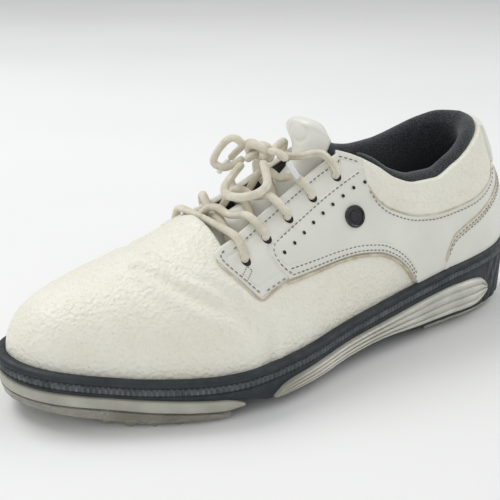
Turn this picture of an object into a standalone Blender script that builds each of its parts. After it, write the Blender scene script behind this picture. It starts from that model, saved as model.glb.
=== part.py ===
"""Golf shoe, left foot: an assembly of sole units, cut leather panels, linings and a lace.

Frame: toe towards -Y, outer (lateral) side towards +X, +Z up, ground at z = 0.
Lengths in this file are millimetres; MM turns them into metres when a mesh is written.

The upper is drawn on one master surface, the outside of the lasted leather. Every panel
is a patch of it, moved out or in along its normal by the panel's place in the stack.
A place on the master surface is given by
  p  the distance along the shoe: the lateral side from the toe to HEEL_Y, round the heel
     by angle, and back along the medial side, with the heel's middle line at P_BACK
  z  the height above the ground, or w, the angle round a cross-section
"""
import bpy
import bmesh
import numpy as np
from math import pi
from mathutils import Vector

MM = 0.001
ORIGIN = (0.81, 0.49, 0.0)   # point of the drawing, under the middle of the shoe, put at the origin
GAP = 0.3                    # clearance left between neighbouring solids

# driving dimensions
TOE_Y = -143.5               # foremost point of the upper at the midsole
HEEL_Y = 85.0                # centre of the rounded heel
HEEL_ARC = 70.0              # length of p given to each quarter turn of the heel
P_BACK = HEEL_Y + HEEL_ARC   # p on the heel's middle line
RIM = 5.0                    # how far the midsole's rim stands out from the upper
THROAT_Y = -52.0             # where the vamp ends and the lacing opening starts
LACE_D = 4.2
EYELET_D = 5.6
BADGE_D = 11.0

# stack, as distances along the normal from the master surface (outer face, inner face)
OVERLAY = (1.5, 0.3)
VAMP = (0.0, -1.2)
TOE_STIFFENER = (-1.5, -2.1)
HEEL_STIFFENER = (-0.8, -1.5)
LINING = (-2.4, -3.4)
COLLAR_FOAM = (-4.5, -7.4)
COLLAR_COVER = (-8.2, -9.2)

# plan of the upper where it meets the midsole, x at y
LATERAL = [(-143.5, -11), (-142, -1), (-134.5, 11.7), (-124, 20.7), (-112, 28), (-95, 37.9), (-80, 45.5),
           (-70, 49), (-57, 51), (-29, 48.2), (7, 39.3), (37, 34.6), (59, 32.4), (85, 30.5)]
MEDIAL = [(-143.5, -11), (-142.3, -17), (-138.5, -24), (-132.5, -30), (-123.5, -37), (-112.5, -43),
          (-95.5, -48), (-77, -50.5), (-57, -50), (-37, -46.7), (-17, -42), (3, -37), (23, -33.5),
          (43, -32), (63, -31.5), (85, -31.5)]
# heights along the shoe: the midsole's top, the ridge line, and how full a section is
FEATHER_Z = [(-150, 28), (-130, 25), (-95, 20.8), (-57, 19.8), (-17, 21.3), (23, 24.6), (63, 29.5),
             (98, 34), (123, 35.7), (148, 38)]
RIDGE_Z = [(-143.5, 28.5), (-138.5, 42), (-131, 49), (-116.5, 54.5), (-98, 60), (-77, 66.5), (-62, 73.5),
           (-52, 78), (-30, 87), (-10, 96), (10, 106), (25, 116), (45, 135), (65, 155), (85, 170)]
RIDGE_X = [(-143.5, -11), (-120, -6), (-90, -3), (-60, -2), (-20, -0.5), (85, -0.5)]
FULLNESS = [(-143.5, 2.2), (-110, 2.3), (-80, 2.1), (-55, 1.78), (-30, 1.68), (0, 1.75), (30, 1.9),
            (60, 2.0), (85, 2.1)]
# the heel's back: distance behind HEEL_Y at height z
HEEL_BACK = [(30, 59), (38, 59.5), (50, 60), (60, 58), (72, 52.5), (84, 45.5), (95, 39), (107, 33.5)]

# pattern lines on the side of the upper, z at p (the medial side is the mirror of the lateral)
COLLAR_LINE = [(14, 104), (24, 101), (35, 95), (45, 88), (58, 84), (71, 84), (85, 89.5), (111, 100.4),
               (130, 104.5), (155, 106)]
COLLAR_LINE_MEDIAL = [(14, 104), (24, 102), (35, 97), (45, 92), (58, 90), (71, 90.5), (85, 93), (111, 100.4),
                      (130, 104.5), (155, 106)]
THROAT_LINE = [(-55, 66.5), (-46, 71), (-32, 78), (-18, 84.5), (-3, 91.5), (14, 99.5), (20, 102.5)]
FACING_SEAM = [(-30, 65), (-3, 77.5), (24, 90)]
SADDLE_EDGE = [(-30, 53), (-14, 54), (14, 55.3), (31, 53.1), (41, 48.8), (50, 41.8), (56, 34), (59, 29.5)]
COLLAR_SEAM = [(27, 88), (32, 79), (40, 73), (57, 67), (73, 65.3), (94, 67.6), (112, 74), (124, 83)]
COUNTER_EDGE = [(78, 33), (80, 42), (86, 52), (101, 60), (123, 71), (140, 77), (155, 79)]
EYELETS = [(-46, 64), (-32, 70.7), (-18, 77.3), (-2.5, 84.2), (13, 91.8)]


def curve_at(table, x):
    """Value at x of the smooth curve through a table's points, with no overshoot between them."""
    xs, ys = np.array(table, float).T
    steps = np.diff(ys) / np.diff(xs)
    slopes = np.zeros_like(ys)
    for i in range(1, len(xs) - 1):
        if steps[i - 1] * steps[i] > 0:
            slopes[i] = 2 * steps[i - 1] * steps[i] / (steps[i - 1] + steps[i])
    slopes[0], slopes[-1] = steps[0], steps[-1]
    x = np.clip(x, xs[0], xs[-1])
    k = np.clip(np.searchsorted(xs, x) - 1, 0, len(xs) - 2)
    h = xs[k + 1] - xs[k]
    t = (x - xs[k]) / h
    return ((1 + 2 * t) * (1 - t) ** 2 * ys[k] + t * (1 - t) ** 2 * h * slopes[k]
            + t * t * (3 - 2 * t) * ys[k + 1] - t * t * (1 - t) * h * slopes[k + 1])


def blunt(table, y):
    """curve_at along the root of the distance from the toe, which rounds a nose smoothly."""
    rooted = [(np.sqrt(max(v[0] - TOE_Y, 0)), v[1]) for v in table]
    return curve_at(rooted, np.sqrt(np.maximum(np.asarray(y, float) - TOE_Y, 0)))


def section(y, w):
    """Point of the master surface in the cross-section at y: w = 0 lateral edge, pi medial edge."""
    y, w = np.broadcast_arrays(np.asarray(y, float), np.asarray(w, float))
    full = 2 / curve_at(FULLNESS, y)
    ridge = curve_at(RIDGE_X, y)
    side = np.where(w < pi / 2, blunt(LATERAL, y), blunt(MEDIAL, y))
    low = curve_at(FEATHER_Z, y)
    x = ridge + (side - ridge) * np.abs(np.cos(w)) ** full
    z = low + (blunt(RIDGE_Z, y) - low) * np.sign(np.sin(w)) * np.abs(np.sin(w)) ** full
    return np.stack([x, y, z], -1)


def angle_at(y, z):
    """The section angle w, on the lateral side, that reaches height z at y."""
    low = curve_at(FEATHER_Z, y)
    part = np.clip((z - low) / (blunt(RIDGE_Z, y) - low), 0, 1)
    return np.arcsin(part ** (curve_at(FULLNESS, y) / 2))


def wall(p, z):
    """Point of the master surface at p and height z, on either side or round the heel."""
    p, z = np.broadcast_arrays(np.asarray(p, float), np.asarray(z, float))
    medial = p > P_BACK
    q = np.where(medial, 2 * P_BACK - p, p)
    y = np.minimum(q, HEEL_Y)
    w = angle_at(y, z)
    here = section(y, np.where(medial, pi - w, w))
    other = section(y, np.where(medial, w, pi - w))
    turn = np.clip((q - HEEL_Y) / HEEL_ARC, 0, 1) * pi / 2
    middle = (here[..., 0] + other[..., 0]) / 2
    x = middle + (here[..., 0] - middle) * np.cos(turn)
    return np.stack([x, y + curve_at(HEEL_BACK, z) * np.sin(turn), z], -1)


def feather(p):
    """Height of the upper's lower edge at p."""
    q = np.minimum(p, 2 * P_BACK - np.asarray(p, float))
    back = np.clip((q - HEEL_Y) / HEEL_ARC, 0, 1)
    y = np.minimum(q, HEEL_Y) + HEEL_BACK[0][1] * np.sin(back * pi / 2)
    return curve_at(FEATHER_Z, y)


def lifted(surface, a, b, out, step=0.02):
    """Surface point moved out along the surface's normal."""
    along = surface(a + step, b) - surface(a - step, b)
    up = surface(a, b + step) - surface(a, b - step)
    normal = np.cross(along, up)
    normal /= np.linalg.norm(normal, axis=-1, keepdims=True)
    return surface(a, b) + normal * out


def mirrored(p):
    return 2 * P_BACK - np.asarray(p, float)


# ---------------------------------------------------------------- meshes
MATERIALS = {
    "pebbled_leather": ((0.80, 0.78, 0.71), 0.55, 0.0),
    "smooth_leather": ((0.78, 0.79, 0.79), 0.40, 0.0),
    "lining_mesh": ((0.10, 0.11, 0.12), 0.90, 0.0),
    "foam": ((0.55, 0.55, 0.52), 0.95, 0.0),
    "stiffener": ((0.60, 0.58, 0.52), 0.80, 0.0),
    "board": ((0.62, 0.60, 0.55), 0.85, 0.0),
    "midsole_navy": ((0.030, 0.038, 0.050), 0.60, 0.0),
    "frosted_tpu": ((0.60, 0.59, 0.54), 0.35, 0.0),
    "clear_tpu": ((0.45, 0.44, 0.36), 0.15, 0.0),
    "lace_textile": ((0.62, 0.59, 0.53), 0.85, 0.0),
    "aglet_plastic": ((0.85, 0.85, 0.83), 0.25, 0.0),
    "gunmetal": ((0.12, 0.12, 0.13), 0.30, 1.0),
}


def material(name):
    """One node's own material: a Principled shader with the sub-part's colour."""
    base, rough, metal = MATERIALS[name]
    made = bpy.data.materials.new(name)
    made.use_nodes = True
    shader = made.node_tree.nodes["Principled BSDF"]
    shader.inputs["Base Color"].default_value = (*base, 1)
    shader.inputs["Roughness"].default_value = rough
    shader.inputs["Metallic"].default_value = metal
    return made


def add_object(name, bm, surface):
    """Write a bmesh given in millimetres as a named object in metres."""
    bmesh.ops.recalc_face_normals(bm, faces=bm.faces)
    bmesh.ops.translate(bm, vec=-Vector(ORIGIN), verts=bm.verts)
    bmesh.ops.scale(bm, vec=(MM, MM, MM), verts=bm.verts)
    mesh = bpy.data.meshes.new(name)
    bm.to_mesh(mesh)
    bm.free()
    mesh.materials.append(material(surface))
    mesh.shade_smooth()
    mesh.set_sharp_from_angle(angle=0.7)
    thing = bpy.data.objects.new(name, mesh)
    bpy.context.scene.collection.objects.link(thing)
    return thing


def shell_mesh(outer, inner, keep=None):
    """Closed bmesh between two equal grids of points, over the cells marked in keep."""
    rows, cols = outer.shape[:2]
    keep = np.ones((rows - 1, cols - 1), bool) if keep is None else keep
    bm = bmesh.new()
    verts = {}

    def vert(layer, i, j):
        key = (layer, i, j)
        if key not in verts:
            verts[key] = bm.verts.new((outer if layer else inner)[i, j])
        return verts[key]

    def kept(i, j):
        return 0 <= i < rows - 1 and 0 <= j < cols - 1 and keep[i, j]

    for i in range(rows - 1):
        for j in range(cols - 1):
            if not keep[i, j]:
                continue
            ring = [(i, j), (i + 1, j), (i + 1, j + 1), (i, j + 1)]
            bm.faces.new([vert(1, *c) for c in ring])
            bm.faces.new([vert(0, *c) for c in reversed(ring)])
            for k, (di, dj) in enumerate([(0, -1), (1, 0), (0, 1), (-1, 0)]):
                if not kept(i + di, j + dj):
                    a, b = ring[k], ring[(k + 1) % 4]
                    bm.faces.new([vert(1, *b), vert(1, *a), vert(0, *a), vert(0, *b)])
    return bm


def band(name, columns, bottom, top, stack, surface, rows=6):
    """Panel between two pattern lines: bottom and top give z at each column's p."""
    p = np.array(columns, float)[:, None]
    part = np.linspace(0, 1, rows + 1)[None, :]
    z = bottom(p) + (top(p) - bottom(p)) * part
    p = np.broadcast_to(p, z.shape)
    bm = shell_mesh(lifted(wall, p, z, stack[0]), lifted(wall, p, z, stack[1]))
    return add_object(name, bm, surface)


def plan_stations(y0, y1, count, heel=0):
    """Plan points of the upper's lower edge from y0 to y1, and on round the heel if asked.

    Returns for the lateral and the medial side the points and their outward normals.
    """
    root = np.linspace(np.sqrt(y0 - TOE_Y), np.sqrt(y1 - TOE_Y), count)
    p = np.concatenate([TOE_Y + root ** 2, HEEL_Y + HEEL_ARC * np.linspace(0, 1, heel + 1)[1:]])
    sides = []
    for q in (p, mirrored(p)):
        along = wall(q + 0.01, feather(q))[:, :2] - wall(q - 0.01, feather(q))[:, :2]
        normal = np.column_stack([along[:, 1], -along[:, 0]])
        normal /= np.linalg.norm(normal, axis=1, keepdims=True)
        if y0 <= TOE_Y:
            normal[0] = (0, -1)
        sides.append((wall(q, feather(q))[:, :2], normal))
    return sides


def plate_mesh(stations, rows):
    """Closed bmesh of a sole unit: each row is (outward offset, height at y) round its outline."""
    (lateral, _), (medial, _) = stations
    ends = [np.allclose(lateral[k], medial[k], atol=0.3) for k in (0, -1)]
    bm = bmesh.new()
    loops = []
    for out, height in rows:
        ring = []
        for points, normals in stations:
            xy = points + normals * out
            ring.append([bm.verts.new((x, y, height(y))) for x, y in xy])
        for k, closed in zip((0, -1), ends):
            if closed:
                bm.verts.remove(ring[1][k])
                ring[1][k] = ring[0][k]
        loops.append(ring)
    for (a, b), (c, d) in zip(loops, loops[1:]):
        for i in range(len(a) - 1):
            bm.faces.new([a[i], a[i + 1], c[i + 1], c[i]])
            bm.faces.new([b[i + 1], b[i], d[i], d[i + 1]])
        if not ends[0]:
            bm.faces.new([b[0], a[0], c[0], d[0]])
        if not ends[1]:
            bm.faces.new([a[-1], b[-1], d[-1], c[-1]])
    for a, b in (loops[0], loops[-1]):
        for i in range(len(a) - 1):
            corners = [a[i], a[i + 1], b[i + 1], b[i]]
            bm.faces.new([v for k, v in enumerate(corners) if v not in corners[:k]])
    return bm


def tube(name, points, diameter, surface, resolution=2):
    """Round cord through its points, with closed ends."""
    curve = bpy.data.curves.new(name, "CURVE")
    curve.dimensions = "3D"
    curve.bevel_depth = diameter / 2 * MM
    curve.bevel_resolution = resolution
    curve.use_fill_caps = True
    spline = curve.splines.new("POLY")
    spline.points.add(len(points) - 1)
    for place, point in zip(spline.points, points):
        place.co = (*((np.array(point) - ORIGIN) * MM), 1)
    curve.materials.append(material(surface))
    thing = bpy.data.objects.new(name, curve)
    bpy.context.scene.collection.objects.link(thing)
    return thing


def cut(thing, cutter, operation="DIFFERENCE"):
    """Boolean with a hidden helper object."""
    cutter.hide_render = True
    cutter.display_type = "WIRE"
    step = thing.modifiers.new(cutter.name, "BOOLEAN")
    step.operation = operation
    step.object = cutter
    step.solver = "EXACT"


# ---------------------------------------------------------------- sole
def sole_top(y):
    return curve_at(FEATHER_Z, y)


def midsole_bottom(y):
    return curve_at([(-150, 20.5), (-130, 17.8), (-120, 16.5), (-95, 13.4), (-70, 11.0), (-60, 9.5),
                     (-48, 5.5), (-38, 5.0), (0, 8.0), (40, 7.5), (62, 5.2), (125, 5.2), (150, 9)], y)


def insert_bottom(y):
    return curve_at([(-150, 14.5), (-130, 11.8), (-120, 10.6), (-95, 7.0), (-70, 5.1), (-60, 4.6)], y)


def outsole_bottom(y):
    return curve_at([(-150, 10), (-130, 7), (-120, 5.2), (-105, 2.5), (-95, 1.9), (128, 1.9), (150, 6)], y)


def above(height, extra):
    return lambda y: height(y) + extra


def build_sole():
    full = plan_stations(TOE_Y, HEEL_Y, 16, heel=8)
    midsole = [(1.8, above(sole_top, -GAP)), (2.0, above(sole_top, 1.2)), (3.6, above(sole_top, 1.2)),
               (RIM, above(sole_top, -0.2)), (RIM, above(sole_top, -1.5)), (3.8, above(sole_top, -2.0)),
               (4.5, above(sole_top, -2.5)), (4.5, above(sole_top, -5.2)), (3.4, above(sole_top, -5.7)),
               (2.4, midsole_bottom)]
    add_object("midsole", plate_mesh(full, midsole), "midsole_navy")

    fore = plan_stations(TOE_Y, -67, 14)
    insert = [(1.5, above(midsole_bottom, -GAP)), (3.6, above(midsole_bottom, -GAP - 0.6)),
              (3.9, above(insert_bottom, 1.0)), (3.2, insert_bottom)]
    add_object("forefoot_insert", plate_mesh(fore, insert), "frosted_tpu")
    outsole = [(2.0, above(insert_bottom, -GAP)), (3.6, above(insert_bottom, -GAP - 0.5)),
               (2.6, above(outsole_bottom, 0.0))]
    front = add_object("outsole_forefoot", plate_mesh(fore, outsole), "clear_tpu")
    back = plan_stations(66, HEEL_Y, 3, heel=8)
    heel = [(1.0, above(midsole_bottom, -GAP)), (1.6, above(midsole_bottom, -GAP - 0.6)),
            (0.6, outsole_bottom)]
    rear = add_object("outsole_heel", plate_mesh(back, heel), "clear_tpu")
    for plate, lugs in ((front, FORE_LUGS), (rear, HEEL_LUGS)):
        bm = bmesh.new()
        for x, y in lugs:
            add_lug(bm, x, y)
        cut(plate, add_object(plate.name + "_lugs", bm, "clear_tpu"), "UNION")

    bed = plan_stations(TOE_Y + 0.5, HEEL_Y, 16, heel=6)
    board = [(-4.4, above(sole_top, 2.2)), (-4.4, above(sole_top, 0.2))]
    add_object("insole_board", plate_mesh(bed, board), "board")
    sock = [(-6.0, above(sole_top, 6.2)), (-4.8, above(sole_top, 5.0)), (-4.8, above(sole_top, 2.6))]
    add_object("sockliner", plate_mesh(bed, sock), "lining_mesh")


def add_lug(bm, x, y, size=3.2):
    """Tapered traction lug standing on the ground, or as far below a rising sole."""
    low = outsole_bottom(y) - 1.9
    made = bmesh.ops.create_cone(bm, cap_ends=True, segments=6, radius1=size * 0.8, radius2=size,
                                 depth=2.8)
    bmesh.ops.translate(bm, verts=made["verts"], vec=(x, y, low + 1.4))


EDGE_LUGS = [(44, -76), (40.5, -87), (36, -96.5), (31, -105.5), (25, -114), (16, -122), (3, -130),
             (-47, -76), (-46, -87), (-44, -96.5), (-41, -105.5), (-37, -114), (-30, -123), (-19, -131)]
FORE_LUGS = EDGE_LUGS + [(x, y) for y in (-72, -84, -96, -108) for x in (-32, -20, -8, 6, 18)
                         if abs(x + 7) < 20 or y > -90] + [(-16, -119), (0, -119)]
HEEL_LUGS = [(x, y) for y in (76, 90, 104) for x in (-25, -9, 8, 24)] + [(-19, 118), (-6, 118), (8, 118),
                                                                        (19, 118), (-8, 131), (8, 131)]

WING_TOP = [(-44, 6.5), (-36, 11.5), (0, 15.5), (31, 18), (93, 24.5), (100, 23), (106, 14)]
WING_BOTTOM = [(-44, 5.5), (-20, 6.5), (27, 9), (60, 7.5), (95, 7.5), (106, 11)]


def build_wings():
    """Ridged stabiliser blade along each side of the waist and heel, outside the midsole's wall."""
    for side, turn in (("lateral", lambda p: p), ("medial", mirrored)):
        p = np.linspace(-42, 104, 13)[:, None]
        part = np.linspace(0, 1, 9)[None, :]
        z = curve_at(WING_BOTTOM, p) + (curve_at(WING_TOP, p) - curve_at(WING_BOTTOM, p)) * part
        ridge = 0.8 * (np.arange(9) % 2)[None, :]
        grids = []
        for out in (RIM + GAP - 0.2 + 1.3 + ridge, RIM + GAP - 0.2 + 0 * ridge):
            flat = []
            for q in turn(p[:, 0]):
                along = wall(q + 0.01, feather(q))[:2] - wall(q - 0.01, feather(q))[:2]
                flat.append(np.append(wall(q, feather(q))[:2], [along[1], -along[0]] / np.hypot(*along)))
            flat = np.array(flat)[:, None, :]
            xy = flat[..., :2] + flat[..., 2:] * out[..., None]
            grids.append(np.concatenate([np.broadcast_to(xy, z.shape + (2,)), z[..., None]], -1))
        add_object("wing_" + side, shell_mesh(*grids), "frosted_tpu")


# ---------------------------------------------------------------- upper
WING_EDGE = [(-52, 66), (-49.5, 60), (-44, 57.5), (-30, 58), (14, 60), (31, 57.5), (41, 53), (50, 46), (56, 38), (60, 31.5)]
TAB_EDGE = [(124, 84), (140, 80.5), (155, 79.8)]
FACING_FRONT = [(-55, 65.8), (-52, 60), (-45, 48.6), (-31, 52.9), (-30.4, 65.3)]


def nose(s, w):
    """Master surface by s, the root of the distance from the toe, so that the toe is round."""
    return section(TOE_Y + np.asarray(s, float) ** 2, w)


def near_side(p):
    return np.minimum(p, mirrored(p))


def collar_line(p):
    low = curve_at(COLLAR_LINE, near_side(p))
    return np.where(p > P_BACK, curve_at(COLLAR_LINE_MEDIAL, near_side(p)), low)


def top_line(p):
    """Upper edge of the side: the lacing edge in front and the collar behind."""
    q = near_side(p)
    return np.where(q < 18, curve_at(THROAT_LINE, q), collar_line(p))


def facing_low(p):
    q = near_side(p)
    return np.where(q < -30.4, np.interp(q, *np.array(FACING_FRONT).T), curve_at(FACING_SEAM, q) + 0.7)


def saddle_low(p):
    q = near_side(p)
    edge = np.where(q < 59, curve_at(SADDLE_EDGE, q), feather(p) + 0.3)
    return np.where(q < 78, edge, curve_at(COUNTER_EDGE, q + 0.8) + 0.5)


def saddle_top(p):
    q = near_side(p)
    rear = np.where(q < 124, curve_at(COLLAR_SEAM, q), curve_at(TAB_EDGE, q) - 0.9)
    return np.where(q < 27, curve_at(FACING_SEAM, q), rear)


def collar_low(p):
    return curve_at(COLLAR_SEAM, near_side(p)) + 0.9


def above_feather(extra):
    return lambda p: feather(p) + extra


def both_sides(name, columns, *rest, **more):
    """The same panel on the lateral and on the medial side."""
    band(name + "_lateral", columns, *rest, **more)
    band(name + "_medial", mirrored(columns)[::-1], *rest, **more)


def steps(*stops):
    """Even steps between stops, given as start, (count, end), (count, end)..."""
    values = [stops[0]]
    for count, end in stops[1:]:
        values += list(np.linspace(values[-1], end, count + 1)[1:])
    return np.array(values)


def build_vamp():
    """Toe and sides in one pebbled hide: whole sections in front, a wing along each side behind."""
    throat = np.sqrt(THROAT_Y - TOE_Y)
    stations = steps(0.3, (3, 2.2), (9, throat), (9, np.sqrt(60 - TOE_Y)))
    y = TOE_Y + stations ** 2
    edge = angle_at(np.maximum(y, THROAT_Y), curve_at(WING_EDGE, y))
    edge = np.where(y < THROAT_Y + 0.01, edge[12], edge)[:, None]
    wing = edge * np.linspace(0, 1, 6)
    middle = edge + (pi - 2 * edge) * np.linspace(0, 1, 9)[1:-1]
    w = np.concatenate([wing, middle, pi - wing[:, ::-1]], 1)
    s = np.broadcast_to(stations[:, None], w.shape)
    keep = np.ones((w.shape[0] - 1, w.shape[1] - 1), bool)
    keep[12:, 5:13] = False
    bm = shell_mesh(lifted(nose, s, w, VAMP[0], 0.004), lifted(nose, s, w, VAMP[1], 0.004), keep)
    add_object("vamp", bm, "pebbled_leather")

    toe_w = np.concatenate([wing[:1], middle[:1], pi - wing[:1, ::-1]], 1)
    for name, stack, first, last, surface in (("toe_puff", TOE_STIFFENER, 3, 8, "stiffener"),
                                              ("vamp_lining", LINING, 3, 12, "lining_mesh")):
        a, b = np.broadcast_arrays(stations[first:last, None], toe_w)
        bm = shell_mesh(lifted(nose, a, b, stack[0], 0.004), lifted(nose, a, b, stack[1], 0.004))
        add_object(name, bm, surface)


def build_panels():
    sides = steps(-30, (7, 26.9), (1, 27.4), (5, 59), (3, 78), (1, 78.5), (6, 124), (2, 140))
    both_sides("saddle", sides, saddle_low, saddle_top, OVERLAY, "smooth_leather", rows=4)
    fronts = steps(-55, (3, -45), (3, -31), (1, -30.3), (7, 17.8), (1, 18.2), (2, 26.6))
    both_sides("facing", fronts, facing_low, top_line, OVERLAY, "smooth_leather", rows=4)
    both_sides("collar_panel", steps(27.9, (5, 59), (3, 78), (6, 123.6)), collar_low, collar_line, OVERLAY,
               "pebbled_leather", rows=4)
    counter = np.concatenate([[78.9], steps(78.5, (6, 124), (2, 140), (2, 155))[1:]])
    counter = np.append(counter, mirrored(counter[:-1])[::-1])
    band("heel_counter", counter, above_feather(0.3), lambda p: curve_at(COUNTER_EDGE, near_side(p)),
         OVERLAY, "smooth_leather", rows=4)
    tab = steps(124, (3, 148), (2, 162), (3, 186))
    band("heel_tab", tab, lambda p: curve_at(TAB_EDGE, near_side(p)), collar_line, OVERLAY,
         "smooth_leather", rows=4)
    band("heel_stiffener", steps(86, (14, 224)), above_feather(0.6), lambda p: 58 + 0 * p, HEEL_STIFFENER,
         "stiffener", rows=3)
    whole = steps(-54, (8, 18), (1, 28), (11, 155))
    whole = np.append(whole, mirrored(whole[:-1])[::-1])
    band("quarter_lining", whole, above_feather(0.3), lambda p: top_line(p) - 0.8, LINING,
         "lining_mesh", rows=4)
    rim = steps(32, (22, 278))
    band("collar_foam", rim, lambda p: collar_line(p) - 24, lambda p: collar_line(p) - 0.8,
         COLLAR_FOAM, "foam", rows=3)
    band("collar_lining", rim, lambda p: collar_line(p) - 24, lambda p: collar_line(p) - 0.8,
         COLLAR_COVER, "lining_mesh", rows=3)
    p = steps(31, (24, 279))
    tube("collar_roll", lifted(wall, p, collar_line(p) - 0.5, -4.6) + (0, 0, 3.0), 4.4, "lining_mesh", 1)
    p = steps(-29, (16, 57))
    for side, q in (("lateral", p), ("medial", mirrored(p))):
        tube("piping_" + side, lifted(wall, q, curve_at(SADDLE_EDGE, p) - 1.7, 1.2), 1.4,
             "smooth_leather", 1)


# tongue: middle line (y, z), half width and how far the edges fall behind the middle
TONGUE = [(0, -53.5, 71.5, 16, 9), (0.10, -46, 70.8, 19, 14), (0.28, -30, 77.2, 20, 18),
          (0.45, -15, 84.3, 19.5, 20.5), (0.60, -3, 90.4, 14.5, 17.5), (0.72, 3.5, 97, 11.2, 12),
          (0.81, 6.6, 103.2, 11.3, 9), (0.90, 8.6, 109.6, 13.5, 7.5), (1, 9.5, 117, 13.5, 6.5)]


TONGUE_LEAN = 3.0   # how far the free end leans to the medial side


def tongue(c, v):
    """Tongue surface: c runs from the vamp to the free end, v from -1 (medial) to 1 (lateral)."""
    c, v = np.broadcast_arrays(np.asarray(c, float), np.asarray(v, float))
    y, z, half, fall = (curve_at([(row[0], row[k]) for row in TONGUE], c) for k in range(1, 5))
    step = 0.004
    ahead = [curve_at([(row[0], row[k]) for row in TONGUE], c + step) for k in (1, 2)]
    behind = [curve_at([(row[0], row[k]) for row in TONGUE], c - step) for k in (1, 2)]
    run = np.stack([ahead[0] - behind[0], ahead[1] - behind[1]], -1)
    run /= np.linalg.norm(run, axis=-1, keepdims=True)
    rise = np.clip((c - 0.76) / 0.20, 0, 1)
    rise = rise * rise * (3 - 2 * rise)
    drop = fall * np.abs(v) ** 2.2 * (1 + 0.5 * v * rise)
    return np.stack([v * half - TONGUE_LEAN * rise, y + run[..., 1] * drop, z - run[..., 0] * drop], -1)


def build_tongue():
    c = np.linspace(0.01, 0.99, 12)[:, None]
    v = np.linspace(1, -1, 8)[None, :]
    c, v = np.broadcast_arrays(c, v)
    for name, stack, surface in (("tongue_shell", (0, -1.0), "smooth_leather"),
                                 ("tongue_foam", (-2.0, -3.7), "foam"),
                                 ("tongue_lining", (-5.0, -5.7), "lining_mesh")):
        bm = shell_mesh(lifted(tongue, c, v, -stack[0], 0.003), lifted(tongue, c, v, -stack[1], 0.003))
        add_object(name, bm, surface)


# ---------------------------------------------------------------- fittings and lace
def frame_at(p, z, out):
    """Point above the master surface, and the surface's normal there."""
    point = lifted(wall, p, z, out)
    normal = lifted(wall, p, z, out + 1) - point
    return point, normal


def disc(name, p, z, out, radius, depth, surface, segments=24):
    point, normal = frame_at(np.array(float(p)), np.array(float(z)), out)
    bm = bmesh.new()
    made = bmesh.ops.create_cone(bm, cap_ends=True, segments=segments, radius1=radius, radius2=radius,
                                 depth=depth)
    turn = Vector((0, 0, 1)).rotation_difference(Vector(normal))
    bmesh.ops.rotate(bm, verts=made["verts"], cent=(0, 0, 0), matrix=turn.to_matrix())
    bmesh.ops.translate(bm, verts=made["verts"], vec=point + normal * depth / 2)
    return add_object(name, bm, surface)


def punch_eyelets():
    """Five holes down each facing, through the facing and the lining under it."""
    for side, turn in (("lateral", float), ("medial", mirrored)):
        for k, (p, z) in enumerate(EYELETS, 1):
            punch = disc("punch_%s_%d" % (side, k), turn(p), z, -6, EYELET_D / 2, 10, "board", 10)
            for target in ("facing_" + side, "quarter_lining"):
                cut(bpy.data.objects[target], punch)


CROSS_LOW = 1.4         # clearance between the lace and the tongue where strands cross
OVER = OVERLAY[0] + GAP + LACE_D / 2 + 0.3     # lace's centre lying on a facing
UNDER = LINING[1] - GAP - LACE_D / 2 - 0.3     # lace's centre behind the lining


def at_eyelet(side, k, out, shift=0.0, ahead=0.0):
    p, z = EYELETS[k - 1]
    q = p - ahead if side > 0 else mirrored(p - ahead)
    return lifted(wall, np.array(float(q)), np.array(z + shift), out)


def tongue_height(x, y):
    """Height of the tongue's face under a place in plan."""
    c = np.linspace(0.02, 0.98, 60)
    half = curve_at([(row[0], row[3]) for row in TONGUE], c)
    points = tongue(c, np.clip(x / half, -1, 1))
    return float(np.interp(y, points[:, 1], points[:, 2]))


def crossing(side, k):
    """From behind eyelet k of one side, over the tongue, to the front of eyelet k + 1 of the other."""
    hidden, shown = at_eyelet(side, k, UNDER, 5.0), at_eyelet(-side, k + 1, OVER + 0.3, 6.5, 4.0)
    rest = LACE_D / 2 + (CROSS_LOW if side > 0 else CROSS_LOW + LACE_D + 0.6)
    points = [at_eyelet(side, k, UNDER), hidden]
    for part in (0.3, 0.5, 0.7):
        point = hidden + (shown - hidden) * part
        points.append(np.array([point[0], point[1], tongue_height(point[0], point[1]) + rest]))
    return points + [shown, at_eyelet(-side, k + 1, OVER, 1.4, 0.9), at_eyelet(-side, k + 1, 2.4)]


def lace_route():
    """The laced run: a bar over the front eyelets, and each end crossing the throat up to the fourth."""
    lateral, medial = [], []
    for k in (1, 2, 3):
        side = 1 if k % 2 else -1
        lateral += crossing(side, k)
        medial += crossing(-side, k)
    front = [at_eyelet(1, 1, 2.4), at_eyelet(1, 1, OVER, 1.6), at_eyelet(1, 1, OVER + 0.4, 6.5)]
    back = [at_eyelet(-1, 1, OVER + 0.4, 6.5), at_eyelet(-1, 1, OVER, 1.6), at_eyelet(-1, 1, 2.4)]
    a, b = front[-1], back[0]
    middle = [a + (b - a) * part + (0, 0, 0.8) for part in (0.33, 0.67)]
    ends = [at_eyelet(-1, 4, UNDER)], [at_eyelet(1, 4, UNDER)]
    return ends[0] + lateral[::-1] + front + middle + back + medial + ends[1]


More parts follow.
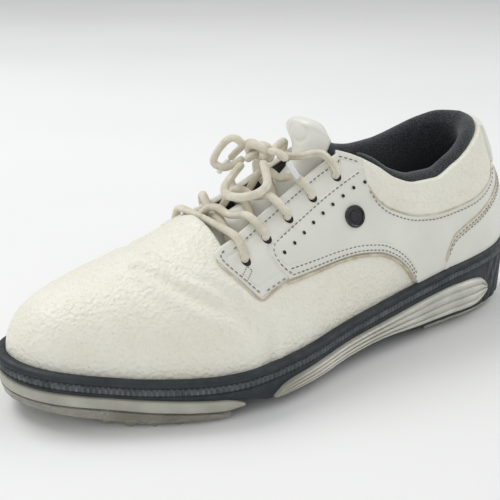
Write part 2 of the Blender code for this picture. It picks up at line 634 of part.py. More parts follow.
# the bow, drawn by hand: each run starts and ends just outside the knot
KNOT = np.array([-3.0, -15.0, 103.0])
LOOP_FRONT = [(4, -18, 100.5), (10, -20, 96), (15, -23, 92), (17, -29, 89.5), (14.5, -36, 88),
              (8, -40, 88), (2, -38, 90), (-2, -31, 94), (-4, -24, 98.5)]
LOOP_BACK = [(-7.5, -21, 106), (-12, -23, 109), (-17, -25, 107), (-21, -28, 101), (-22.5, -29, 95.5),
             (-18, -26, 93.5), (-13, -23, 96), (-9, -20, 99.5)]
TAIL_LATERAL = [(4, -14, 104.5), (9, -14.5, 105.5), (13.5, -14, 105), (15.6, -12.7, 102.9)]
AGLET_LATERAL = [(16.2, -12.3, 102), (21.2, -9.4, 94)]
TAIL_MEDIAL = [(-10, -12, 105), (-17, -11.5, 104.5), (-23, -14, 100), (-27, -16.5, 95)]
AGLET_MEDIAL = [(-27.6, -16.9, 94.2), (-33, -20.5, 86.5)]
STRAND_FROM_5 = [(15.5, 8.5, 102.5), (10.5, 0, 101.5), (6, -6.5, 101.5), (3.2, -9.5, 102)]


def top_strand(side):
    """From the knot to a top eyelet, and in through it."""
    over = [(side * x - (0.5 if side < 0 else 0), y, z) for x, y, z in STRAND_FROM_5]
    if side < 0:
        over[-1] = (-9.5, -9.5, 103)
    inside = [at_eyelet(side, 5, OVER + 0.3, 1.8), at_eyelet(side, 5, 2.4), at_eyelet(side, 5, -4.2)]
    return over[::-1] + inside


def build_fittings():
    disc("badge", 17, 73, OVERLAY[0] + GAP, BADGE_D / 2, 1.6, "gunmetal")
    tube("lace", lace_route(), LACE_D, "lace_textile")
    tube("lace_strand_lateral", top_strand(1), LACE_D, "lace_textile")
    tube("lace_strand_medial", top_strand(-1), LACE_D, "lace_textile")
    tube("lace_loop_front", LOOP_FRONT, LACE_D, "lace_textile")
    tube("lace_loop_back", LOOP_BACK, LACE_D, "lace_textile")
    tube("lace_tail_lateral", TAIL_LATERAL, LACE_D, "lace_textile")
    tube("lace_tail_medial", TAIL_MEDIAL, LACE_D, "lace_textile")
    tube("aglet_lateral", AGLET_LATERAL, 3.0, "aglet_plastic")
    tube("aglet_medial", AGLET_MEDIAL, 3.0, "aglet_plastic")
    bm = bmesh.new()
    bmesh.ops.create_icosphere(bm, subdivisions=2, radius=5.6)
    bmesh.ops.translate(bm, verts=bm.verts, vec=KNOT)
    add_object("lace_knot", bm, "lace_textile")


for thing in list(bpy.data.objects):
    bpy.data.objects.remove(thing, do_unlink=True)
build_sole()
build_wings()
build_vamp()
build_panels()
build_tongue()
punch_eyelets()
build_fittings()
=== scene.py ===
"""Looks of the golf shoe: leather panels, sole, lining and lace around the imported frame.

Lengths are millimetres in the shoe's own drawing: toe towards -Y, outer side towards +X,
+Z up. They become metres in the row frame when a mesh is written.
"""
from math import cos, pi, radians, sin

import bpy
import numpy as np
from mathutils import Matrix, Vector


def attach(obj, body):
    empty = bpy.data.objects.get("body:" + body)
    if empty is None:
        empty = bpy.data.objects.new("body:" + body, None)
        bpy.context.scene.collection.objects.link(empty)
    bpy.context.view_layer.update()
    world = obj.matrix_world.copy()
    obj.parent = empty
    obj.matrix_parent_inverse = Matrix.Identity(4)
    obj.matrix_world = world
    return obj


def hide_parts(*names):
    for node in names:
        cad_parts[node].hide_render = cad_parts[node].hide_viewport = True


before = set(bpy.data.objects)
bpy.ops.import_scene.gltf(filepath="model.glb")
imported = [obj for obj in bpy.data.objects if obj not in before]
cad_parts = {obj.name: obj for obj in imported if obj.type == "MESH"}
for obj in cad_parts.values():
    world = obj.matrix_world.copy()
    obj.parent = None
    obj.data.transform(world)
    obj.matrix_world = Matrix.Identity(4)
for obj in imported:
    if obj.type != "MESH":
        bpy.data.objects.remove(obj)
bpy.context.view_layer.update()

MM = 0.001
ORIGIN = (0.81, 0.49, 0.0)   # point of the drawing that is the row frame's origin

# driving dimensions, as in the CAD model
TOE_Y = -143.5
HEEL_Y = 85.0
HEEL_ARC = 70.0
P_BACK = HEEL_Y + HEEL_ARC
RIM = 5.0
THROAT_Y = -52.0
LACE_D = 4.2
BADGE_D = 11.0
BADGE_AT = (17.0, 73.0)
FACING_FRONT_P = -57.6
SADDLE_FRONT_P = -33.4
COLLAR_FRONT = 27.0
COUNTER_FRONT = 78.0
TAB_FRONT = 124.0

# plan of the upper at the midsole, x at y, and heights along the shoe
LATERAL = [(-143.5, -11), (-142, -1), (-134.5, 11.7), (-124, 20.7), (-112, 28), (-95, 37.9), (-80, 45.5),
           (-70, 49), (-57, 51), (-29, 48.2), (7, 39.3), (37, 34.6), (59, 32.4), (85, 30.5)]
MEDIAL = [(-143.5, -11), (-142.3, -17), (-138.5, -24), (-132.5, -30), (-123.5, -37), (-112.5, -43),
          (-95.5, -48), (-77, -50.5), (-57, -50), (-37, -46.7), (-17, -42), (3, -37), (23, -33.5),
          (43, -32), (63, -31.5), (85, -31.5)]
FEATHER_Z = [(-150, 28), (-130, 25), (-95, 20.8), (-57, 19.8), (-17, 21.3), (23, 24.6), (63, 29.5),
             (98, 34), (123, 35.7), (148, 38)]
RIDGE_Z = [(-143.5, 28.5), (-138.5, 42), (-131, 49), (-116.5, 54.5), (-98, 60), (-77, 66.5), (-62, 73.5),
           (-52, 78), (-30, 87), (-10, 96), (10, 106), (25, 116), (45, 135), (65, 155), (85, 170)]
RIDGE_X = [(-143.5, -11), (-120, -6), (-90, -3), (-60, -2), (-20, -0.5), (85, -0.5)]
FULLNESS = [(-143.5, 2.2), (-110, 2.3), (-80, 2.1), (-55, 1.78), (-30, 1.68), (0, 1.75), (30, 1.9),
            (60, 2.0), (85, 2.1)]
HEEL_BACK = [(30, 59), (38, 59.5), (50, 60), (60, 58), (72, 52.5), (84, 45.5), (95, 39), (107, 33.5)]

# pattern lines, z at p
COLLAR_LINE = [(14, 104), (24, 101), (35, 95), (45, 88), (58, 84), (71, 84), (85, 89.5), (111, 100.4),
               (130, 104.5), (155, 106)]
COLLAR_LINE_MEDIAL = [(14, 104), (24, 102), (35, 97), (45, 92), (58, 90), (71, 90.5), (85, 93),
                      (111, 100.4), (130, 104.5), (155, 106)]
THROAT_LINE = [(-57.6, 66), (-57, 67.4), (-55, 68.6), (-46, 72), (-32, 78), (-18, 84.5), (-3, 91.5),
               (14, 99.5), (20, 102.5)]
FACING_SEAM = [(-33, 64.3), (-30, 65), (-3, 77.5), (24, 90)]
SEAM_RISE = 3.4   # how far the saddle laps over the facing past the seam line
SADDLE_FRONT = [(-33.4, 65.5), (-33, 63), (-31, 58.6), (-27.5, 53.5)]
SADDLE_EDGE = [(-30, 53), (-14, 54), (14, 55.3), (31, 53.1), (41, 48.8), (50, 41.8), (56, 34), (59, 29.5)]
COLLAR_SEAM = [(27, 88), (32, 79), (40, 73), (57, 67), (73, 65.3), (94, 67.6), (112, 74), (124, 83)]
COUNTER_EDGE = [(78, 33), (80, 42), (86, 52), (101, 60), (123, 71), (140, 77), (155, 79)]
EYELETS = [(-46, 64), (-32, 70.7), (-18, 77.3), (-2.5, 84.2), (13, 91.8)]
TAB_EDGE = [(124, 84), (140, 80.5), (155, 79.8)]
FACING_FRONT = [(-57.6, 65.6), (-57.2, 63.6), (-54, 59.5), (-45, 48.6), (-40, 50), (-30, 53)]
WING_EDGE = [(-52, 66), (-30, 58), (14, 60), (31, 57.5), (41, 53), (50, 46), (56, 38), (60, 31.5)]
# rows of c, y, z, half width and fall at the edge; fuller at the free end than the CAD tongue
TONGUE = [(0, -53.5, 71.5, 16, 9), (0.10, -46, 70.8, 19, 14), (0.28, -30, 77.2, 20, 18),
          (0.45, -15, 84.3, 19.5, 20.5), (0.60, -3, 90.4, 14.5, 17.5), (0.72, 3.5, 97, 11.2, 12),
          (0.81, 6.6, 103.2, 12.6, 8), (0.90, 8.3, 109.6, 15.8, 6.5),
          (1, 9.3, 117, 15.8, 6.5)]


# ---------------------------------------------------------------- small helpers
def unit(v):
    return v / np.linalg.norm(v, axis=-1, keepdims=True)


def run_of(path):
    """Distance along a path at each of its points."""
    return np.concatenate([[0], np.cumsum(np.linalg.norm(np.diff(path, axis=0), axis=1))])


def on_side(side, q):
    """p of a lateral place on the given side: 1 lateral, -1 medial."""
    return q if side > 0 else mirrored(q)


# ---------------------------------------------------------------- the lasted surface
def curve_at(table, x):
    """Value at x of the smooth curve through a table's points, with no overshoot between them."""
    xs, ys = np.array(table, float).T
    rises = np.diff(ys) / np.diff(xs)
    slopes = np.zeros_like(ys)
    for i in range(1, len(xs) - 1):
        if rises[i - 1] * rises[i] > 0:
            slopes[i] = 2 * rises[i - 1] * rises[i] / (rises[i - 1] + rises[i])
    slopes[0], slopes[-1] = rises[0], rises[-1]
    x = np.clip(x, xs[0], xs[-1])
    k = np.clip(np.searchsorted(xs, x) - 1, 0, len(xs) - 2)
    h = xs[k + 1] - xs[k]
    t = (x - xs[k]) / h
    return ((1 + 2 * t) * (1 - t) ** 2 * ys[k] + t * (1 - t) ** 2 * h * slopes[k]
            + t * t * (3 - 2 * t) * ys[k + 1] - t * t * (1 - t) * h * slopes[k + 1])


def blunt(table, y):
    """curve_at along the root of the distance from the toe, which rounds a nose smoothly."""
    rooted = [(np.sqrt(max(v[0] - TOE_Y, 0)), v[1]) for v in table]
    return curve_at(rooted, np.sqrt(np.maximum(np.asarray(y, float) - TOE_Y, 0)))


def section(y, w):
    """Point of the lasted surface in the cross-section at y: w = 0 lateral edge, pi medial edge."""
    y, w = np.broadcast_arrays(np.asarray(y, float), np.asarray(w, float))
    full = 2 / curve_at(FULLNESS, y)
    ridge = curve_at(RIDGE_X, y)
    side = np.where(w < pi / 2, blunt(LATERAL, y), blunt(MEDIAL, y))
    low = curve_at(FEATHER_Z, y)
    x = ridge + (side - ridge) * np.abs(np.cos(w)) ** full
    z = low + (blunt(RIDGE_Z, y) - low) * np.sign(np.sin(w)) * np.abs(np.sin(w)) ** full
    return np.stack([x, y, z], -1)


def angle_at(y, z):
    """The section angle w, on the lateral side, that reaches height z at y."""
    low = curve_at(FEATHER_Z, y)
    part = np.clip((z - low) / (blunt(RIDGE_Z, y) - low), 0, 1)
    return np.arcsin(part ** (curve_at(FULLNESS, y) / 2))


def wall(p, z):
    """Point of the lasted surface at p and height z, on either side or round the heel."""
    p, z = np.broadcast_arrays(np.asarray(p, float), np.asarray(z, float))
    medial = p > P_BACK
    q = np.where(medial, 2 * P_BACK - p, p)
    y = np.minimum(q, HEEL_Y)
    w = angle_at(y, z)
    here = section(y, np.where(medial, pi - w, w))
    other = section(y, np.where(medial, w, pi - w))
    turn = np.clip((q - HEEL_Y) / HEEL_ARC, 0, 1) * pi / 2
    middle = (here[..., 0] + other[..., 0]) / 2
    x = middle + (here[..., 0] - middle) * np.cos(turn)
    return np.stack([x, y + curve_at(HEEL_BACK, z) * np.sin(turn), z], -1)


def nose(s, w):
    """The lasted surface by s, the root of the distance from the toe."""
    return section(TOE_Y + np.asarray(s, float) ** 2, w)


TONGUE_LEAN = 4.5   # how far the free end leans to the medial side


def tongue(c, v):
    """Tongue surface: c runs from the vamp to the free end, v from -1 (medial) to 1 (lateral)."""
    c, v = np.broadcast_arrays(np.asarray(c, float), np.asarray(v, float))
    y, z, half, fall = (curve_at([(row[0], row[k]) for row in TONGUE], c) for k in range(1, 5))
    ahead = [curve_at([(row[0], row[k]) for row in TONGUE], c + 0.004) for k in (1, 2)]
    behind = [curve_at([(row[0], row[k]) for row in TONGUE], c - 0.004) for k in (1, 2)]
    run = unit(np.stack([ahead[0] - behind[0], ahead[1] - behind[1]], -1))
    rise = np.clip((c - 0.76) / 0.20, 0, 1)
    rise = rise * rise * (3 - 2 * rise)
    drop = fall * np.abs(v) ** 2.2 * (1 + 0.5 * v * rise)
    return np.stack([v * half - TONGUE_LEAN * rise, y + run[..., 1] * drop, z - run[..., 0] * drop], -1)


def lifted(surface, a, b, out, step=0.02):
    """Surface point moved out along the surface's normal."""
    along = surface(a + step, b) - surface(a - step, b)
    up = surface(a, b + step) - surface(a, b - step)
    normal = unit(np.cross(along, up))
    return surface(a, b) + normal * np.asarray(out)[..., None]


def mirrored(p):
    return 2 * P_BACK - np.asarray(p, float)


def near_side(p):
    return np.minimum(p, mirrored(p))


def feather(p):
    """Height of the upper's lower edge at p."""
    q = near_side(p)
    back = np.clip((q - HEEL_Y) / HEEL_ARC, 0, 1)
    return curve_at(FEATHER_Z, np.minimum(q, HEEL_Y) + HEEL_BACK[0][1] * np.sin(back * pi / 2))


def collar_line(p):
    low = curve_at(COLLAR_LINE, near_side(p))
    return np.where(np.asarray(p) > P_BACK, curve_at(COLLAR_LINE_MEDIAL, near_side(p)), low)


def top_line(p):
    q = near_side(p)
    return np.where(q < 18, curve_at(THROAT_LINE, q), collar_line(p))


# ---------------------------------------------------------------- meshes
def add_mesh(name, points, faces, look, uv=None, ride=True):
    """Write points in millimetres and their faces as an object in metres."""
    mesh = bpy.data.meshes.new(name)
    placed = (np.asarray(points, float) - ORIGIN) * MM
    mesh.from_pydata(placed.tolist(), [], faces)
    if uv is not None:
        layer = mesh.uv_layers.new(name="run")
        order = np.empty(len(mesh.loops), np.int32)
        mesh.loops.foreach_get("vertex_index", order)
        layer.data.foreach_set("uv", np.asarray(uv, np.float32)[order].ravel())
    mesh.materials.append(look)
    mesh.shade_smooth()
    thing = bpy.data.objects.new(name, mesh)
    bpy.context.scene.collection.objects.link(thing)
    if ride:
        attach(thing, "root")
    return thing


def grid_faces(rows, cols, closed=False, keep=None, start=0, flip=False):
    """Quads of a grid of points, joined round if closed, over the cells marked in keep."""
    faces = []
    across = cols if closed else cols - 1
    for i in range(rows - 1):
        for j in range(across):
            if keep is None or keep[i, j]:
                k = (j + 1) % cols
                face = (i * cols + j, i * cols + k, (i + 1) * cols + k, (i + 1) * cols + j)
                face = face[::-1] if flip else face
                faces.append(tuple(v + start for v in face))
    return faces


def add_grid(name, points, look, closed=False, keep=None, flip=False, uv=None):
    rows, cols = points.shape[:2]
    flat_uv = None if uv is None else uv.reshape(-1, 2)
    flat, faces = points.reshape(-1, 3), np.array(grid_faces(rows, cols, closed, keep, 0, flip))
    if keep is not None:
        used, faces = np.unique(faces, return_inverse=True)
        flat, faces = flat[used], faces.reshape(-1, 4)
    return add_mesh(name, flat, faces.tolist(), look, flat_uv)


def eased(length, middle):
    """Places along a length: close together near both ends, and `middle` even ones between."""
    near = np.array([0, 0.08, 0.22, 0.42, 0.7, 1.1, 1.7])
    length = np.asarray(length, float)[..., None]
    near = near * np.minimum(1, length / 6)
    inner = 2.4 * np.minimum(1, length / 6)
    between = inner + (length - 2 * inner) * np.linspace(0, 1, middle)
    return np.concatenate([near, between, length - near[..., ::-1]], -1)


def panel(name, ends, bottom, top, high, low, look, cols=120, rows=40, relief=None, edge=0.9,
          free=(True, True, True, True)):
    """Leather panel on the wall between two pattern lines, with its edges rolled over.

    high and low are the heights over the lasted surface of its face and of its rolled edge.
    free says which edges roll: front end, back end, bottom, top.
    """
    p = ends[0] + eased(ends[1] - ends[0], cols)[:, None]
    height = top(p) - bottom(p)
    z = bottom(p) + eased(height[:, 0], rows)
    p = np.broadcast_to(p, z.shape)
    gaps = [p - ends[0], ends[1] - p, z - bottom(p), top(p) - z]
    near = np.min([g if on else 99 + 0 * g for g, on in zip(gaps, free)], axis=0)
    part = np.clip(near / edge, 0, 1)
    out = low + (high - low) * np.sqrt(1 - (1 - part) ** 2)
    if relief is not None:
        out = out + relief(p, z, near)
    return add_grid(name, lifted(wall, p, z, out), look)


def both(name, ends, *rest, **more):
    """The same panel on the lateral and on the medial side."""
    made = [panel(name + "_lateral", ends, *rest, **more)]
    free = more.pop("free", (True, True, True, True))
    more["free"] = (free[1], free[0], free[2], free[3])
    back = (float(mirrored(ends[1])), float(mirrored(ends[0])))
    made.append(panel(name + "_medial", back, *rest, **more))
    return made


def flowing(points, step=0.8):
    """Points every `step` along a smooth curve through the given ones."""
    given = np.array(points, float)
    given = np.vstack([2 * given[0] - given[1], given, 2 * given[-1] - given[-2]])
    fine = []
    t = np.linspace(0, 1, 12, endpoint=False)[:, None]
    for a, b, c, d in zip(given, given[1:], given[2:], given[3:]):
        fine.append(0.5 * (2 * b + (c - a) * t + (2 * a - 5 * b + 4 * c - d) * t ** 2
                           + (3 * b - a - 3 * c + d) * t ** 3))
    fine = np.vstack(fine + [given[-2:-1]])
    run = run_of(fine)
    places = np.linspace(0, run[-1], max(3, int(run[-1] / step) + 1))
    return np.column_stack([np.interp(places, run, fine[:, k]) for k in range(given.shape[1])])


def tube_parts(path, radius, sides=14, flat=1.0, tips=True, closed=False):
    """Points and run-round coordinates of a soft tube; flat squashes it across its bend."""
    path = np.asarray(path, float)
    count = len(path)
    if closed:
        ahead = np.roll(path, -1, 0) - np.roll(path, 1, 0)
    else:
        ahead = np.gradient(path, axis=0)
    ahead = unit(ahead)
    side = np.cross(ahead[0], (0, 0, 1) if abs(ahead[0][2]) < 0.9 else (1, 0, 0))
    frames = []
    for a in ahead:
        side = unit(side - a * np.dot(side, a))
        frames.append((side, np.cross(a, side)))
    thick = np.ones(count)
    if tips:
        run = np.arange(count)
        reach = max(2.0, radius / np.linalg.norm(path[1] - path[0]))
        thick = np.sqrt(np.clip(1 - (1 - np.clip(np.minimum(run, run[::-1]) / reach, 0, 1)) ** 2, 0.0004, 1))
    turn = np.linspace(0, 2 * pi, sides, endpoint=False)
    points = np.array([c + radius * k * (np.outer(np.cos(turn), u) + flat * np.outer(np.sin(turn), v))
                       for c, k, (u, v) in zip(path, thick, frames)])
    run = run_of(path)
    uv = np.stack(np.broadcast_arrays(run[:, None] / 4.0, (turn / (2 * pi))[None, :]), -1)
    if closed:
        points = np.concatenate([points, points[:1]])
        uv = np.concatenate([uv, uv[-1:]])
    return points, uv


def add_tube(name, path, radius, look, **more):
    points, uv = tube_parts(path, radius, **more)
    return add_grid(name, points, look, closed=True, uv=uv)


def add_tubes(name, paths, radius, look, **more):
    """Several tubes joined into one object."""
    points, uvs, faces = [], [], []
    start = 0
    for path in paths:
        made, uv = tube_parts(path, radius, **more)
        faces += grid_faces(made.shape[0], made.shape[1], True, None, start)
        points.append(made.reshape(-1, 3))
        uvs.append(uv.reshape(-1, 2))
        start += made.shape[0] * made.shape[1]
    return add_mesh(name, np.vstack(points), faces, look, np.vstack(uvs))


def add_stitches(name, lines, look, pitch=2.6, length=1.8, radius=0.31):
    """Dashes of thread along lines given as points and their normals."""
    turn = np.linspace(0, 2 * pi, 6, endpoint=False)
    along = np.array([-0.5, -0.38, 0, 0.38, 0.5]) * length
    girth = np.array([0.15, 0.8, 1, 0.8, 0.15]) * radius
    points, faces = [], []
    for path, normals in lines:
        run = run_of(path)
        count = int(run[-1] / pitch)
        for place in (np.arange(count) + 0.5) * run[-1] / max(count, 1):
            centre = np.array([np.interp(place, run, path[:, k]) for k in range(3)])
            end = np.array([np.interp(place + 0.5, run, path[:, k]) for k in range(3)])
            up = np.array([np.interp(place, run, normals[:, k]) for k in range(3)])
            ahead = end - centre
            if np.linalg.norm(ahead) < 1e-6:
                continue
            ahead = unit(ahead)
            side = unit(np.cross(ahead, up))
            start = len(points) * 30
            body = [centre + ahead * a + g * (np.outer(np.cos(turn), side) + 0.6 * np.outer(np.sin(turn), up))
                    for a, g in zip(along, girth)]
            points.append(np.vstack(body))
            faces += grid_faces(5, 6, True, None, start)
    return add_mesh(name, np.vstack(points), faces, look)


def on_wall(p, z, out):
    """Points on the wall and their normals, for a line of p and z."""
    path = lifted(wall, p, z, out)
    return path, lifted(wall, p, z, out + 1) - path


def wall_line(points, out, side, step=1.0):
    """A line through (p, z) points on one side of the shoe."""
    fine = flowing(points, step)
    return on_wall(on_side(side, fine[:, 0]), fine[:, 1], out)


def line_between(function, start, end, out, side, count=60):
    """A line at z = function(p) from start to end on one side of the shoe."""
    p = on_side(side, np.linspace(start, end, count))
    return on_wall(p, function(p), out)


# ---------------------------------------------------------------- materials
class Look:
    """A Principled material whose nodes read the object's own coordinates, in metres."""

    def __init__(self, name, base, rough, **sockets):
        self.made = bpy.data.materials.new(name)
        self.made.use_nodes = True
        self.tree = self.made.node_tree
        self.shader = self.tree.nodes["Principled BSDF"]
        self.shader.inputs["Base Color"].default_value = (*base, 1)
        self.shader.inputs["Roughness"].default_value = rough
        for key, value in sockets.items():
            self.shader.inputs[key.replace("_", " ")].default_value = value
        self.place = self.tree.nodes.new("ShaderNodeTexCoord").outputs["Object"]
        self.normal = None

    def node(self, kind, inputs, **settings):
        made = self.tree.nodes.new("ShaderNode" + kind)
        for key, value in settings.items():
            setattr(made, key, value)
        for key, value in inputs.items():
            if isinstance(value, bpy.types.NodeSocket):
                self.tree.links.new(value, made.inputs[key])
            else:
                made.inputs[key].default_value = value
        return made

    def noise(self, cell, detail=3.0, rough=0.5, place=None):
        """Noise with features about `cell` millimetres across."""
        made = self.node("TexNoise", {"Vector": place or self.place, "Scale": 1 / (cell * MM),
                                      "Detail": detail, "Roughness": rough})
        return made.outputs[0]

    def noise_colour(self, cell):
        return self.node("TexNoise", {"Vector": self.place, "Scale": 1 / (cell * MM)}).outputs[1]

    def cells(self, cell, feature="SMOOTH_F1", place=None):
        made = self.node("TexVoronoi", {"Vector": place or self.place, "Scale": 1 / (cell * MM)},
                         feature=feature)
        return made.outputs["Distance"]

    def ramp(self, value, stops):
        made = self.node("ValToRGB", {"Fac": value})
        ramp = made.color_ramp
        while len(ramp.elements) < len(stops):
            ramp.elements.new(0.5)
        for element, (place, colour) in zip(ramp.elements, stops):
            element.position = place
            element.color = (*colour, 1)
        return made.outputs["Color"]

    def tinted(self, value, low, high, start=0.35, end=0.65):
        """Colour going from low to high as value goes from start to end."""
        self.tree.links.new(self.ramp(value, [(start, low), (end, high)]), self.shader.inputs["Base Color"])
        return self

    def bump(self, height, depth, strength=1.0):
        """Relief `depth` millimetres deep; several add up."""
        inputs = {"Height": height, "Distance": depth * MM, "Strength": strength}
        if self.normal is not None:
            inputs["Normal"] = self.normal
        self.normal = self.node("Bump", inputs).outputs["Normal"]
        self.tree.links.new(self.normal, self.shader.inputs["Normal"])
        return self

    def roughened(self, value, low, high):
        made = self.node("MapRange", {"Value": value, "From Min": 0.3, "From Max": 0.7,
                                      "To Min": low, "To Max": high})
        self.tree.links.new(made.outputs["Result"], self.shader.inputs["Roughness"])
        return self


def pebbled_leather():
    look = Look("pebbled_leather", (0.86, 0.84, 0.74), 0.5, Specular_IOR_Level=0.4)
    look.tinted(look.noise(28, 6, 0.62), (0.84, 0.815, 0.71), (0.89, 0.875, 0.79), 0.3, 0.7)
    sway = look.node("VectorMath", {0: look.noise_colour(3.0), "Scale": 6 * MM}, operation="SCALE").outputs[0]
    wander = look.node("MixRGB", {"Fac": 0.35, "Color1": look.place, "Color2": sway},
                       blend_type="ADD").outputs[0]
    look.bump(look.noise(7, 4, 0.6), 0.25, 0.4)
    look.bump(look.cells(1.7, place=wander), 0.75, 0.85)
    look.bump(look.cells(0.9, place=wander), 0.22, 0.6)
    look.roughened(look.noise(9), 0.40, 0.58)
    return look.made


def smooth_leather():
    look = Look("smooth_leather", (0.86, 0.86, 0.83), 0.36, Specular_IOR_Level=0.45)
    look.tinted(look.noise(35, 5), (0.74, 0.74, 0.68), (0.82, 0.82, 0.765), 0.3, 0.7)
    look.bump(look.noise(14, 3), 0.4, 0.4)
    look.bump(look.cells(0.55, "F1"), 0.06, 0.5)
    look.roughened(look.noise(7), 0.30, 0.46)
    return look.made


def folded_edge():
    look = Look("folded_edge", (0.62, 0.55, 0.42), 0.6)
    look.tinted(look.noise(6, 4), (0.50, 0.43, 0.31), (0.72, 0.66, 0.55))
    look.bump(look.noise(0.8), 0.08, 0.6)
    return look.made


def thread():
    look = Look("thread", (0.16, 0.145, 0.12), 0.8)
    look.tinted(look.noise(3), (0.15, 0.135, 0.11), (0.30, 0.27, 0.23))
    look.bump(look.noise(0.25), 0.06, 0.8)
    return look.made


def knitted_lining():
    look = Look("knitted_lining", (0.10, 0.11, 0.12), 0.92, Sheen_Weight=0.25, Sheen_Roughness=0.5)
    holes = look.cells(0.8, "F1")
    look.tinted(holes, (0.050, 0.060, 0.068), (0.012, 0.015, 0.018), 0.25, 0.62)
    look.bump(holes, 0.3, 0.6)
    look.bump(look.noise(0.35, 2), 0.12, 0.6)
    return look.made


def moulded_foam():
    look = Look("moulded_foam", (0.020, 0.027, 0.034), 0.55)
    look.tinted(look.noise(8, 6, 0.65), (0.008, 0.014, 0.020), (0.026, 0.034, 0.040), 0.3, 0.75)
    look.bump(look.noise(0.6, 3), 0.05, 0.5)
    look.roughened(look.noise(5, 4), 0.45, 0.66)
    return look.made


def frosted_plastic():
    look = Look("frosted_plastic", (0.42, 0.42, 0.36), 0.38, Transmission_Weight=0.15,
                Subsurface_Weight=0.2, Subsurface_Scale=0.004)
    look.tinted(look.noise(16, 5), (0.40, 0.40, 0.34), (0.58, 0.58, 0.51), 0.3, 0.7)
    look.bump(look.noise(1.2, 3), 0.03, 0.5)
    look.roughened(look.noise(6, 3), 0.3, 0.48)
    return look.made


def clear_plastic():
    look = Look("clear_plastic", (0.74, 0.71, 0.58), 0.16, Transmission_Weight=0.7, IOR=1.46)
    look.tinted(look.noise(12, 4), (0.60, 0.57, 0.46), (0.82, 0.81, 0.74), 0.3, 0.75)
    look.bump(look.noise(1.5, 3), 0.06, 0.5)
    look.roughened(look.noise(5, 3), 0.10, 0.28)
    return look.made


def braided_lace():
    look = Look("braided_lace", (0.68, 0.63, 0.50), 0.85, Sheen_Weight=0.35, Sheen_Roughness=0.4)
    run = look.tree.nodes.new("ShaderNodeTexCoord").outputs["UV"]
    heights = []
    for lean in (1, -1):
        turned = look.node("Mapping", {"Vector": run, "Scale": (1.0, lean * 2.0, 1.0)}).outputs[0]
        wave = look.node("TexWave", {"Vector": turned, "Scale": 2.0, "Distortion": 0.6,
                                     "Detail": 1.0, "Detail Scale": 2.0},
                         wave_type="BANDS", bands_direction="DIAGONAL")
        heights.append(wave.outputs["Fac"])
    braid = look.node("Math", {0: heights[0], 1: heights[1]}, operation="MAXIMUM").outputs[0]
    look.tinted(look.noise(14, 5, 0.65), (0.56, 0.50, 0.38), (0.80, 0.76, 0.65), 0.32, 0.62)
    look.bump(braid, 0.18, 0.6)
    look.bump(look.noise(0.35, 3), 0.10, 0.7)
    return look.made


def plain(name, base, rough, second, grain=3.0, **sockets):
    """A material with gentle colour variation and fine grain, for small or hidden pieces."""
    look = Look(name, base, rough, **sockets)
    look.tinted(look.noise(grain * 4, 4), second, base)
    look.bump(look.noise(grain * 0.3, 3), 0.05, 0.5)
    return look.made


PEBBLED = pebbled_leather()
SMOOTH = smooth_leather()
EDGE = folded_edge()
THREAD = thread()
LINING = knitted_lining()
MIDSOLE = moulded_foam()
RIBBED = plain("ribbed_foam", (0.13, 0.145, 0.15), 0.6, (0.06, 0.07, 0.076), 1.5)
FROSTED = frosted_plastic()
CLEAR = clear_plastic()
LACE = braided_lace()
AGLET = plain("aglet_plastic", (0.85, 0.85, 0.84), 0.25, (0.75, 0.76, 0.76))
# near-black discs for the holes: the dark lining seen through them plus painted shade inside each hole
HOLE_SHADE = plain("hole_painted_shade", (0.010, 0.010, 0.011), 0.8, (0.02, 0.02, 0.02))
METAL = plain("dark_metal", (0.10, 0.10, 0.105), 0.2, (0.05, 0.05, 0.055), 6.0, Metallic=1.0)
BOARD = plain("fibre_board", (0.62, 0.60, 0.55), 0.85, (0.50, 0.48, 0.43))


# ---------------------------------------------------------------- upper
def dip(distance, depth, width):
    """Soft groove across a line at distance 0."""
    return -depth * np.exp(-(distance / width) ** 2)


# flexing creases: points in plan, depth and half width
CREASES = [([(7, -88), (22, -82), (31, -76), (38, -68), (43, -58), (47.5, -51), (49, -44)],
            1.5, 2.2),
           ([(2, -80), (16, -77), (27, -71), (35, -63), (41, -54)], 0.9, 1.7),
           ([(-20, -86), (-8, -90), (6, -95), (20, -92), (32, -86)], 0.35, 2.0),
           ([(-44, -70), (-36, -74), (-24, -78), (-12, -82)], 0.6, 2.2),
           ([(30, -66), (38, -60), (44, -50), (47, -40)], 0.4, 1.5)]


def crease_relief(points):
    """Flexing creases over the ball of the foot, as grooves with raised lips in plan view."""
    out = np.zeros(points.shape[:2])
    for line, depth, width in CREASES:
        path = flowing(line, 1.0)
        gap = np.full(out.shape, 1e9)
        for place in path:
            gap = np.minimum(gap, (points[..., 0] - place[0]) ** 2 + (points[..., 1] - place[1]) ** 2)
        gap = np.sqrt(gap)
        out += dip(gap, depth, width) + 0.45 * depth * np.exp(-((gap - 2.1 * width) / width) ** 2)
    return out


def wrinkles(points):
    """Fine sideways wrinkles where the toe and the ball bend, fading towards the heel."""
    x, y, z = np.moveaxis(points, -1, 0)
    wave = (np.sin(0.9 * y + 0.35 * x + 1.4 * np.sin(0.21 * x + 0.13 * z))
            + 0.6 * np.sin(1.7 * y - 0.6 * x + 1.1 * np.sin(0.17 * x - 0.2 * z)))
    where = np.exp(-((y + 68) / 24) ** 2) + 0.25 * np.exp(-((y + 110) / 20) ** 2)
    return 0.075 * wave * where


